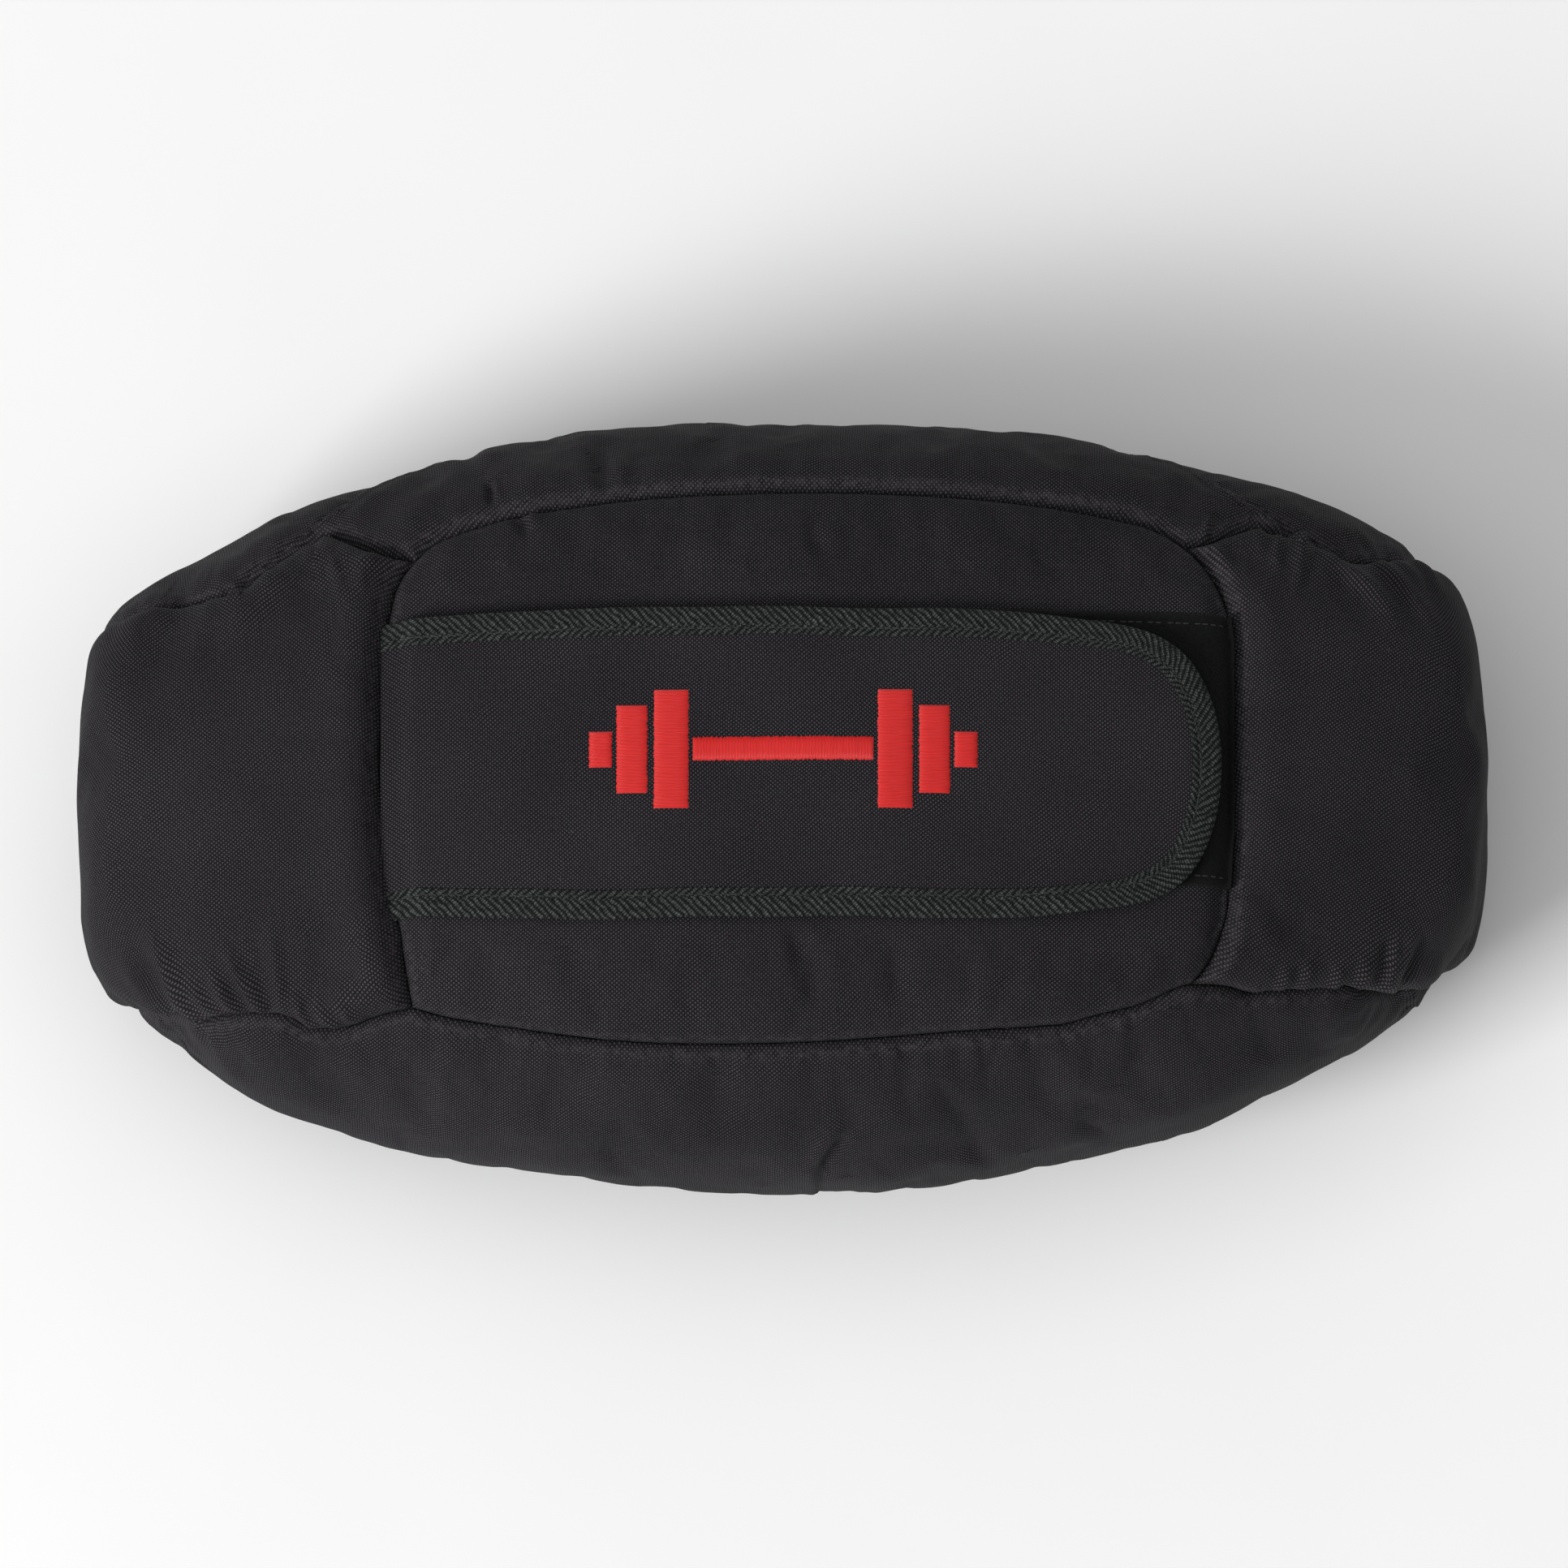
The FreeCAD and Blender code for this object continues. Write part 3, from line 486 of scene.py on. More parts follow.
def inside(ring_points, x, y):
    """Which plan places lie within a closed outline."""
    hit = np.zeros(len(x), bool)
    a, b = ring_points, np.roll(ring_points, -1, axis=0)
    for (x0, y0), (x1, y1) in zip(a, b):
        if y0 == y1:
            continue
        crosses = (y0 > y) != (y1 > y)
        hit ^= crosses & (x < x0 + (y - y0) * (x1 - x0) / (y1 - y0))
    return hit


CURVES = {name: rounded(line) for name, line in (
    ("top", SEAM_TOP), ("right", SEAM_RIGHT), ("bottom", SEAM_BOTTOM), ("left", SEAM_LEFT),
    ("left_upper", LEFT_UPPER), ("left_lower", LEFT_LOWER),
    ("right_upper", RIGHT_UPPER), ("right_lower", RIGHT_LOWER),
)}
FRONT_RING = np.vstack([CURVES[n][:-1] for n in ("top", "right", "bottom", "left")])
LEFT_RING = np.vstack([CURVES["left"][:-1], CURVES["left_upper"], CURVES["left_lower"][::-1][:-1]])
RIGHT_RING = np.vstack([CURVES["right"][:-1], CURVES["right_lower"], CURVES["right_upper"][::-1][:-1]])
BACK_LINE, NEAR_LINE = rounded(BACK_SEAM), rounded(NEAR_SEAM)
# Shift of the end panels' seams for each millimetre of depth, and the depth added on the near side
LEAN, NEAR_LEAN = 0.4, 28


def leaned(x, y, z):
    """Widths that the end panels are told by. Towards the bag's ends they shift with the depth under the top,
    so that the seams run on down the sides."""
    out = np.array(y, float)
    for name in ("left_upper", "left_lower", "right_upper", "right_lower"):
        side = -1 if name.startswith("left") else 1
        far = 1 if name.endswith("upper") else -1
        line = CURVES[name][np.argsort(CURVES[name][:, 0])]
        at = np.nonzero((x * side > 200) & (y * far > 0))[0]
        seam = np.interp(x[at], line[:, 0], line[:, 1])
        rise = z[at] - form_top(x[at], seam / settled(x[at], seam))
        rise += NEAR_LEAN * (far < 0) * smooth((np.abs(x[at]) - 210) / 30)
        out[at] -= far * LEAN * smooth((np.abs(x[at]) - 200) / 25) * rise
    return out


def panel_of(points):
    """The panel that each place on the bag's outside belongs to."""
    x, y, z = np.asarray(points, float).T
    at_ends = leaned(x, y, z)
    out = np.full(len(x), BACK)
    far_seam = np.interp(np.abs(x), BACK_LINE[:, 0], BACK_LINE[:, 1])
    near_seam = np.interp(np.abs(x), NEAR_LINE[:, 0], NEAR_LINE[:, 1])
    gusset = z > np.where(y > 0, far_seam, near_seam)
    out[gusset] = np.where(y[gusset] > 0, UPPER, LOWER)
    high = z > STRIP_LOW
    out[high & inside(LEFT_RING, x, at_ends)] = LEFT_END
    out[high & inside(RIGHT_RING, x, at_ends)] = RIGHT_END
    front = (z > CROWN_HEIGHT / 2) & inside(FRONT_RING, x, y)
    out[front] = FRONT
    out[front & (x > SLOT[0]) & (x < SLOT[1]) & (np.abs(y) < SLOT[2])] = OPENING
    return out


def edge_ends(bm):
    return np.array([(e.verts[0].index, e.verts[1].index) for e in bm.edges])


def bm_points(bm):
    return np.array([v.co[:] for v in bm.verts]) / MM


SWELL_PRESSURE, SWELL_SHRINK, SWELL_FRAMES, SWELL_CAP = 5.0, -0.012, 20, 7.0


def swell_cloth(thing, held):
    """Fill the bag: cloth under pressure, held at its seams, with some fullness gathered into them."""
    start = points_of(thing.data)
    group = thing.vertex_groups.new(name="held")
    for weight in np.unique(held):
        group.add([int(i) for i in np.nonzero(held == weight)[0]], float(weight), "REPLACE")
    modifier = thing.modifiers.new("cloth", "CLOTH")
    cloth = modifier.settings
    cloth.quality = 5
    cloth.mass = 0.2
    cloth.tension_stiffness = 20
    cloth.compression_stiffness = 20
    cloth.shear_stiffness = 8
    cloth.bending_stiffness = 2.0
    cloth.use_pressure = True
    cloth.uniform_pressure_force = SWELL_PRESSURE
    cloth.shrink_min = SWELL_SHRINK
    cloth.vertex_group_mass = "held"
    cloth.effector_weights.gravity = 0
    modifier.point_cache.frame_start = 1
    modifier.point_cache.frame_end = SWELL_FRAMES
    scene.frame_start, scene.frame_end = 1, SWELL_FRAMES
    for step in range(1, SWELL_FRAMES + 1):
        scene.frame_set(step)
    evaluated = thing.evaluated_get(bpy.context.evaluated_depsgraph_get())
    moved = points_of(evaluated.data) - start
    thing.modifiers.clear()
    thing.vertex_groups.clear()
    scene.frame_set(1)
    far = np.linalg.norm(moved, axis=1, keepdims=True)
    moved *= SWELL_CAP * np.tanh(far / SWELL_CAP) / np.maximum(far, 1e-9)
    normals = normals_of(thing.data)
    free = held < 0.5
    fullness = float((moved[free] * normals[free]).sum(axis=1).mean())
    x, y, z = start.T
    still = smooth((CLOSURE_HALF + 6 - np.abs(y - CLOSURE_MIDDLE)) / 12) * smooth((x - CLOSURE_LEFT) / 8)
    still *= z > UPPER_SIDE
    still = np.maximum(still * smooth((CLOSURE_RIGHT + 6 - x) / 8), smooth((8 - z) / 6))
    set_points(thing.data, start + moved - normals * (fullness * (1 - still))[:, None])


def spread_marks(ends, marks, times):
    """Marks spread to the neighbours of marked points, this many times."""
    for _ in range(times):
        either = marks[ends[:, 0]] | marks[ends[:, 1]]
        marks = marks.copy()
        marks[ends[either].ravel()] = True
    return marks


def cut_at_seams(bm):
    """Split faces so that every seam runs along edges."""
    ends, points = edge_ends(bm), bm_points(bm)
    labels = panel_of(points)
    crossing = np.nonzero(labels[ends[:, 0]] != labels[ends[:, 1]])[0]
    a, b = points[ends[crossing, 0]], points[ends[crossing, 1]]
    low, high = np.zeros(len(crossing)), np.ones(len(crossing))
    first = labels[ends[crossing, 0]]
    for _ in range(14):
        middle = (low + high) / 2
        same = panel_of(a + (b - a) * middle[:, None]) == first
        low, high = np.where(same, middle, low), np.where(same, high, middle)
    bm.edges.ensure_lookup_table()
    edges = [bm.edges[i] for i in crossing]
    fresh = []
    for edge, share in zip(edges, (low + high) / 2):
        _, vert = bmesh.utils.edge_split(edge, edge.verts[0], float(np.clip(share, 0.03, 0.97)))
        fresh.append(vert)
    bmesh.ops.connect_verts(bm, verts=fresh)
    bmesh.ops.triangulate(bm, faces=[f for f in bm.faces if len(f.verts) > 4])
    bm.verts.ensure_lookup_table()
    bm.verts.index_update()
    return [v.index for v in fresh]


def along_line(x, y, line):
    """Signed distance to a line of plan points, and the share of its length where each place is nearest."""
    best = np.full(len(x), 1e9)
    signed, share = np.zeros(len(x)), np.zeros(len(x))
    steps = np.linalg.norm(np.diff(line, axis=0), axis=1)
    total, before = steps.sum(), 0.0
    for (x0, y0), (x1, y1), step in zip(line, line[1:], steps):
        dx, dy = (x1 - x0) / step, (y1 - y0) / step
        t = np.clip((x - x0) * dx + (y - y0) * dy, 0, step)
        ox, oy = x - x0 - t * dx, y - y0 - t * dy
        d = np.hypot(ox, oy)
        nearer = d < best
        best = np.where(nearer, d, best)
        signed = np.where(nearer, np.sign(dx * oy - dy * ox) * d, signed)
        share = np.where(nearer, (before + t) / total, share)
        before += step
    return signed, share


# Folds in the cloth: plan points, width, height
FOLDS = [
    ([(-198, -90), (-204, -80), (-211, -70), (-214, -61)], 3.0, 1.7),
    ([(-208, -90), (-216, -78), (-221, -69)], 2.6, 1.3),
    ([(-224, -90), (-232, -78), (-240, -63), (-247, -51)], 3.2, 1.5),
    ([(-190, -90), (-193, -78), (-195, -66), (-197, -53)], 3.0, 1.2),
    ([(-180, -97), (-185, -88), (-188, -80)], 2.4, 1.1),
    ([(-170, -97), (-177, -90), (-181, -85)], 2.4, 1.2),
    ([(-162, -96), (-167, -90), (-170, -85)], 2.4, 0.9),
    ([(-216, -91), (-223, -81), (-229, -73)], 2.2, 1),
    ([(-234, -87), (-242, -78), (-250, -69), (-256, -58)], 3.0, 1.1),
    ([(-239, -85), (-248, -79), (-258, -71)], 2.5, 0.9), ([(3, -60), (6, -71), (6, -81)], 4, -0.8),
    ([(11, -72), (12, -86), (12, -99)], 4, -0.7), ([(42, -72), (43, -86), (42, -98)], 4, -0.7),
    ([(70, -75), (71, -87), (70, -99)], 4, -0.5), ([(-30, -63), (-27, -78), (-25, -93)], 5, -0.5),
    ([(-171, 81), (-169, 72), (-167, 64)], 2.6, 0.9),
    ([(-227, 72), (-234, 58), (-242, 41), (-248, 26)], 6, -1.2),
    ([(-241, 71), (-248, 59), (-252, 45)], 5, 1), ([(-194, 83), (-208, 62), (-220, 50)], 7, 1.1),
    ([(-155, 84), (-161, 76), (-164, 67)], 3, 0.8), ([(-72, 122), (-69, 116), (-65, 110)], 4, -1.2),
    ([(-123, 133), (-119, 118), (-117, 107)], 5, -0.8), ([(-95, 138), (-86, 129), (-83, 117)], 6, -0.8),
    ([(-27, 136), (-25, 127), (-25, 115)], 5, -0.6),
    ([(-113, 114), (-112, 110), (-112, 105)], 1.6, -1.3),
    ([(-102, 102), (-100, 97), (-97, 91)], 2.6, -1.5), ([(11, 97), (12, 89), (17, 79)], 3.5, -0.7),
    ([(-42, 98), (-42, 84), (-39, 71)], 6, -0.5), ([(42, 101), (44, 87), (42, 74)], 6, -0.5),
    ([(-127, 86), (-131, 72), (-133, 63)], 8, 0.9), ([(199, 96), (198, 82), (195, 68)], 2.2, 0.98),
    ([(208, 90), (214, 82), (227, 71), (239, 58)], 3, 1.17),
    ([(227, 89), (234, 80), (245, 68), (253, 52)], 3, 1.1),
    ([(233, 90), (242, 80), (250, 67)], 2.4, 0.85), ([(241, 90), (248, 82), (253, 71)], 2.2, 0.72),
    ([(217, 85), (230, 68), (236, 52)], 5, 0.72), ([(190, 96), (189, 85), (190, 76)], 2, 0.65),
    ([(181, 98), (183, 88), (185, 81)], 3, 0.59), ([(164, 91), (168, 84), (173, 77)], 2, 0.8),
    ([(163, 100), (162, 96), (162, 93)], 1.6, 1.4), ([(242, -75), (248, -68), (255, -62)], 2.2, 1.6),
    ([(237, -73), (243, -64), (246, -54)], 2, -1.4), ([(230, -76), (233, -66), (236, -56)], 2, 1.1),
    ([(220, -79), (222, -72), (223, -66)], 2, 1), ([(210, -80), (212, -75), (212, -69)], 2, 0.9),
    ([(199, -82), (200, -76), (201, -69)], 2, 0.9), ([(190, -83), (192, -76), (193, -71)], 2, 0.9),
    ([(169, -75), (173, -66), (177, -56)], 3, 0.8), ([(15, -146), (20, -140), (27, -134)], 2.5, -1.8),
    ([(136, -115), (167, -108), (205, -95)], 5, 0.8), ([(136, -123), (173, -112), (217, -92)], 4.5, 0.9),
    ([(102, -134), (142, -123), (186, -107)], 4.5, 0.8), ([(30, -146), (67, -142), (105, -134)], 3, 0.9),
    ([(114, -118), (148, -111), (180, -102)], 6, 0.6),
    ([(-127, -105), (-114, -117), (-102, -125)], 7, 0.8),
    ([(-170, -103), (-158, -114), (-139, -125)], 8, 0.7), ([(61, -120), (42, -129), (30, -137)], 8, 0.6),
    ([(-41, -109), (-41, -111), (-41, -114)], 1.7, -0.45),
    ([(-36, -109), (-35, -111), (-34, -114)], 1.7, 0.35),
    ([(-27, -109), (-26, -112), (-25, -114)], 1.7, -0.35),
    ([(-19, -109), (-20, -112), (-20, -115)], 1.7, -0.35),
    ([(-12, -109), (-14, -112), (-15, -115)], 1.7, 0.3),
    ([(13, -108), (14, -111), (15, -114)], 1.7, -0.45),
    ([(35, -107), (37, -109), (38, -112)], 1.7, -0.45), ([(42, -106), (43, -109), (43, -112)], 1.7, 0.3),
    ([(75, -103), (76, -106), (77, -109)], 1.7, -0.4), ([(78, -103), (79, -106), (80, -109)], 1.7, 0.35),
    ([(93, -102), (94, -104), (95, -108)], 1.7, -0.35),
    ([(107, -101), (108, -103), (109, -106)], 1.7, -0.45),
    ([(125, -96), (127, -98), (128, -101)], 1.7, -0.45),
    ([(129, -95), (131, -97), (132, -100)], 1.7, 0.35),
    ([(152, -85), (153, -88), (155, -91)], 1.7, -0.35),
]
# Pleats, where cloth is folded over itself: plan points, height and reach. It stands up on the line's left.
PLEATS = [
    ([(-137, -56), (-136, -73), (-138.5, -84), (-142, -90)], 2.4, 9),
    ([(-120, -59), (-129, -69), (-135, -80)], -1.3, 6.0),
    ([(171, -54), (168.5, -63), (165, -71)], 1.0, 7),
]
BULGE = {FRONT: 0.0, LEFT_END: 0.6, RIGHT_END: 0.4, UPPER: 0.4, LOWER: 0.6, BACK: 0.4, OPENING: 0.0}
LIP = {FRONT: 0.0, LEFT_END: 4.6, RIGHT_END: 2.2, UPPER: 1.4, LOWER: 0.6, BACK: 0.8, OPENING: 0.0}
ROLL = {FRONT: 7.0, LEFT_END: 6.5, RIGHT_END: 7.0, UPPER: 7.0, LOWER: 9.0, BACK: 9.0, OPENING: 7.0}
# The two ridges beside the back seam: height, distance from the seam, width
BACK_RIDGES = ((2.6, 3.6, 1.7), (1.5, 8.5, 1.8))
SEAM_DEPTH, STITCH_DEPTH, STITCH_REACH = 3.4, 3.0, 1.5
FOLD_HEIGHT = 1.8
LIP_AT, LIP_WIDTH = 11.0, 11.0
PUCKERS = {FRONT: 0.4, LEFT_END: 0.5, RIGHT_END: 0.5, UPPER: 0.55, LOWER: 0.75, BACK: 0.7, OPENING: 0.0}


def by_panel(values, labels):
    return np.array([values[k] for k in range(7)])[labels]


def fold_places(x, y, z):
    """Each fold with the points it may reach, their distance from its line and their share of its length."""
    for line, width, tall in FOLDS:
        path = rounded(line, 3.0)
        reach = 4 * width + 2
        low, high = path.min(axis=0) - reach, path.max(axis=0) + reach
        near = np.nonzero((x > low[0]) & (x < high[0]) & (y > low[1]) & (y < high[1]) & (z > 80))[0]
        if len(near):
            signed, share = along_line(x[near], y[near], path)
            yield near, signed, share, width, tall


def shape_panels(mesh, labels, seam_points):
    """Draw the seams in, round the panels between them, and lay the folds."""
    points, normals = points_of(mesh), normals_of(mesh)
    tree = KDTree(len(seam_points))
    for i, p in enumerate(seam_points):
        tree.insert(Vector(p), i)
    tree.balance()
    found = [tree.find(Vector(p)) for p in points]
    distance = np.array([f[2] for f in found])
    foot = np.array([tuple(f[0]) for f in found])
    x, y, z = points.T
    closure = smooth((CLOSURE_HALF - np.abs(y - CLOSURE_MIDDLE)) / 8) * smooth((x - CLOSURE_LEFT) / 6)
    closure *= (labels == FRONT) * (z > 100)
    bulge, lip = by_panel(BULGE, labels), by_panel(LIP, labels)
    at_left_seam = smooth((30 + foot[:, 0] + 150) / 20) * smooth((-foot[:, 0] - 130) / 12)
    lip = np.where(labels == LEFT_END, 1.5 + (lip - 1.5) * at_left_seam, lip)
    lip *= smooth((foot[:, 2] - 90) / 50)
    height = -SEAM_DEPTH + (SEAM_DEPTH + bulge) * (1 - np.exp(-distance / by_panel(ROLL, labels)))
    height += lip * np.exp(-((distance - LIP_AT) / LIP_WIDTH) ** 2) * smooth(distance / 6)
    gather = field(foot, 7.0, 3, 1) * (0.4 + np.abs(field(foot, 50.0, 4, 1)) * 2.0)
    height += by_panel(PUCKERS, labels) * 2.0 * gather * np.exp(-distance / 14) * smooth(distance / 5)
    loose = field(points, 60.0, 5, 2) * 1.6 + field(points, 22.0, 6, 2) * 0.35
    height += loose * smooth(distance / 20)
    for near, signed, share, width, tall in fold_places(x, y, z):
        reach = np.minimum(smooth(share / 0.15) + 0.55, 1) * smooth((1 - share) / 0.5)
        ridge = np.exp(-(signed / width) ** 2) - 0.5 * np.exp(-((signed - 1.8 * width) / (1.2 * width)) ** 2)
        height[near] += FOLD_HEIGHT * tall * ridge * reach * smooth(distance[near] / 5.0 + 0.1)
    for line, tall, wide in PLEATS:
        signed, share = along_line(x, y, rounded(line, 3.0))
        step = smooth((signed + 0.7) / 1.4) * np.exp(-np.maximum(signed, 0) / wide)
        step *= smooth(share / 0.1 + 0.3) * smooth((1 - share) / 0.2) * (np.abs(signed) < 40) * (z > 80)
        height += tall * step * smooth(distance / 4)
    at_back = (foot[:, 1] > 70) & (np.abs(foot[:, 2] - np.interp(np.abs(foot[:, 0]), *BACK_LINE.T)) < 3)
    ridged = at_back * smooth((np.abs(foot[:, 0]) - 110) / 50) * (labels != BACK)
    for tall, at, wide in BACK_RIDGES:
        height += ridged * tall * np.exp(-((distance - at) / wide) ** 2)
    height -= STITCH_DEPTH * np.exp(-distance / STITCH_REACH)
    height *= 1 - closure * smooth((distance - 3) / 9)
    height -= 2.4 * closure * np.exp(-(distance / 8) ** 2) * smooth(distance / 3)
    rests = smooth((14 - z) / 14) * (normals[:, 2] < -0.2)
    height *= 1 - 0.8 * rests
    ends = ends_of(mesh)
    on_seam = distance < 0.01
    beside = np.exp(-(distance / 7) ** 2) * ~on_seam
    even = relax(normals, ends, np.exp(-(distance / 9) ** 2) * 0.6, 5)
    even /= np.maximum(np.linalg.norm(even, axis=1), 0.01)[:, None]
    moved = points + even * height[:, None]
    moved = relax(moved, ends, on_seam * 0.5 * (closure < 0.5), 4, on_seam)
    moved = relax(moved, ends, beside * 0.4 * (closure < 0.5), 2)
    moved[:, 2] = np.maximum(moved[:, 2], 0.0)
    set_points(mesh, moved)
    return distance


def relax(points, ends, amount, times, chosen=None):
    """Draw each place towards the middle of its neighbours."""
    a, b = ends[:, 0], ends[:, 1]
    if chosen is not None:
        both = chosen[a] & chosen[b]
        a, b = a[both], b[both]
    count = np.bincount(a, minlength=len(points)) + np.bincount(b, minlength=len(points))
    for _ in range(times):
        total = np.zeros_like(points)
        np.add.at(total, a, points[b])
        np.add.at(total, b, points[a])
        middle = np.where(count[:, None] > 1, total / np.maximum(count, 1)[:, None], points)
        points = points + (middle - points) * amount[:, None]
    return points


def flat_places(x, y):
    return np.stack([x, y, np.zeros(len(x))], 1)


def thread_places(points, label):
    """Where each point lies in its panel's cloth: along the weft, along the warp, in millimetres."""
    x, y, z = points.T
    if label == FRONT:
        return flat_places(x, y)
    top = crown(x)
    w = half_width(x)
    r = CORNER_SHARE * w
    angle = np.clip(np.arctan2(np.abs(y) - (w - r), z - (top - r)), 0, math.pi / 2)
    curved = np.minimum(np.abs(y), w - r) + r * angle
    down = np.maximum(top - r - z, 0)
    girth = np.sign(y) * (curved + down)
    if label in (LEFT_END, RIGHT_END):
        end_down = np.maximum(top - z - 4, 0) * smooth((np.abs(x) - 235) / 25)
        turn = 0.05 if label == LEFT_END else -0.12
        along = x + np.sign(x) * end_down
        return flat_places(along + turn * y, y - turn * along)
    if label == BACK:
        return flat_places(x, np.where(z < 25, y, girth))
    return flat_places(x, girth)


def set_threads(mesh, places):
    attribute = mesh.attributes.new("thread", "FLOAT_VECTOR", "POINT")
    attribute.data.foreach_set("vector", np.asarray(places, np.float32).ravel())


def set_worn(mesh, amount):
    attribute = mesh.attributes.new("worn", "FLOAT", "POINT")
    attribute.data.foreach_set("value", np.asarray(amount, np.float32))


# Materials

class Shader:
    """A material's nodes, built up in order."""

    def __init__(self, name):
        self.material = bpy.data.materials.new(name)
        self.material.use_nodes = True
        self.nodes = self.material.node_tree.nodes
        self.links = self.material.node_tree.links
        self.nodes.clear()
        self.surface = self.nodes.new("ShaderNodeBsdfPrincipled")
        output = self.nodes.new("ShaderNodeOutputMaterial")
        self.links.new(self.surface.outputs[0], output.inputs[0])

    def put(self, socket, value):
        if isinstance(value, bpy.types.NodeSocket):
            self.links.new(value, socket)
        elif value is not None:
            socket.default_value = value

    def add(self, kind, output=0, **inputs):
        settings = inputs.pop("settings", {})
        new = self.nodes.new(kind)
        for key, value in settings.items():
            setattr(new, key, value)
        for key, value in inputs.items():
            self.put(new.inputs[int(key[1:]) if key[0] == "i" and key[1:].isdigit() else key], value)
        return new.outputs[output]

    def math(self, operation, a, b=None, c=None):
        return self.add("ShaderNodeMath", settings={"operation": operation}, i0=a, i1=b, i2=c)

    def times(self, a, b):
        return self.math("MULTIPLY", a, b)

    def plus(self, a, b):
        return self.math("ADD", a, b)

    def scaled(self, a, factor, start):
        return self.math("MULTIPLY_ADD", a, factor, start)

    def mix(self, share, a, b):
        new = self.nodes.new("ShaderNodeMix")
        new.data_type = "RGBA"
        self.put(new.inputs[0], share)
        self.put(new.inputs[6], a)
        self.put(new.inputs[7], b)
        return new.outputs[2]

    def noise(self, vector, scale, detail, rough=0.5):
        return self.add("ShaderNodeTexNoise", Vector=vector, Scale=scale, Detail=detail, Roughness=rough)

    def ramp(self, value, low, high, a=0.0, b=1.0):
        new = self.nodes.new("ShaderNodeMapRange")
        self.put(new.inputs[0], value)
        for index, number in enumerate((low, high, a, b), 1):
            new.inputs[index].default_value = number
        return new.outputs[0]

    def attribute(self, name, output="Vector"):
        new = self.nodes.new("ShaderNodeAttribute")
        new.attribute_name = name
        return new.outputs[output]

    def split(self, vector):
        new = self.nodes.new("ShaderNodeSeparateXYZ")
        self.links.new(vector, new.inputs[0])
        return new.outputs[0], new.outputs[1], new.outputs[2]

    def place(self, scale=1000.0):
        """Object coordinates, in millimetres unless another scale is given."""
        where = self.nodes.new("ShaderNodeTexCoord").outputs["Object"]
        return self.add("ShaderNodeVectorMath", settings={"operation": "SCALE"}, i0=where, Scale=scale)

    def bump(self, height, distance, strength=1.0, below=None):
        return self.add("ShaderNodeBump", Height=height, Distance=distance, Strength=strength, Normal=below)

    def finish(self, **inputs):
        for key, value in inputs.items():
            self.put(self.surface.inputs[key.replace("_", " ")], value)
        return self.material


def woven(name, colour, pale, pitch=(0.89, 0.76), sheen=0.01, rough=0.58, threads=True):
    """Plain weave: each thread goes over one and under the next. Its colour carries painted shade in the gaps and on
    the threads lying under, a painted highlight on the raised threads, and random mottle.
    """
    s = Shader(name)
    where = s.attribute("thread") if threads else s.place()
    drift = s.noise(where, 0.03, 2.0)
    u, v, _ = s.split(where)
    u = s.plus(u, s.times(drift, 4.0))
    v = s.plus(v, s.times(drift, -3.0))
    across = s.math("SINE", s.times(u, math.pi / pitch[0]))
    along = s.math("SINE", s.times(v, math.pi / pitch[1]))
    over = s.math("GREATER_THAN", s.times(across, along), 0.0)
    warp, weft = s.math("ABSOLUTE", across), s.math("ABSOLUTE", along)
    standing = s.times(s.math("POWER", warp, 0.8), s.scaled(weft, 0.65, 0.35))
    lying = s.times(weft, s.scaled(warp, 0.18, 0.05))
    lifted = s.plus(s.times(over, standing), s.times(s.math("SUBTRACT", 1.0, over), lying))
    grain = s.noise(where, 0.55, 3.0, 0.7)
    cloudy = s.noise(s.place(), 0.014, 3.0, 0.6)
    # Painted shade and highlight: the colour follows the threads' height, dark in the gaps and pale on the raised
    # threads, times random grain and mottle.
    painted_shade_and_mottle = s.times(lifted, s.scaled(grain, 1.3, 0.35))
    painted_shade_and_mottle = s.times(painted_shade_and_mottle, s.scaled(cloudy, 0.9, 0.55))
    body = s.mix(painted_shade_and_mottle, colour, pale)
    worn = s.times(s.attribute("worn", "Fac"), s.ramp(s.noise(s.place(), 0.4, 4.0, 0.7), 0.4, 0.75, 0.0, 0.3))
    scuffed = s.mix(worn, body, tuple(min(1.0, c * 1.6) for c in pale[:3]) + (1,))
    dust = s.add("ShaderNodeTexVoronoi", settings={"feature": "F1"}, Vector=s.place(), Scale=0.16)
    speck = s.times(s.math("LESS_THAN", dust, 0.05), s.ramp(s.noise(s.place(), 0.015, 2.0), 0.5, 0.62))
    tone = s.mix(s.times(speck, LINT), scuffed, (0.16, 0.155, 0.15, 1))
    normal = s.bump(lifted, THREAD_RELIEF, 1.0, s.bump(s.noise(s.place(), 0.12, 3.0), 0.0004, 0.3))
    gloss = s.ramp(lifted, 0.0, 1.0, min(1.0, rough + 0.3), rough - 0.05)
    return s.finish(Base_Color=tone, Roughness=gloss, Normal=normal, Sheen_Weight=sheen, Sheen_Roughness=0.4,
                    Specular_IOR_Level=0.07)


def tape_ribs(u, v):
    """Height of the edge tape's slanting ribs at a place along and across it, from 0 to 1."""
    lean = np.where(np.abs(v) > TAPE_TURN, -1.2, 1.0)
    rib = 0.5 + 0.5 * np.cos((u - lean * v) * 2 * math.pi / TAPE_RIB)
    return rib ** 0.8


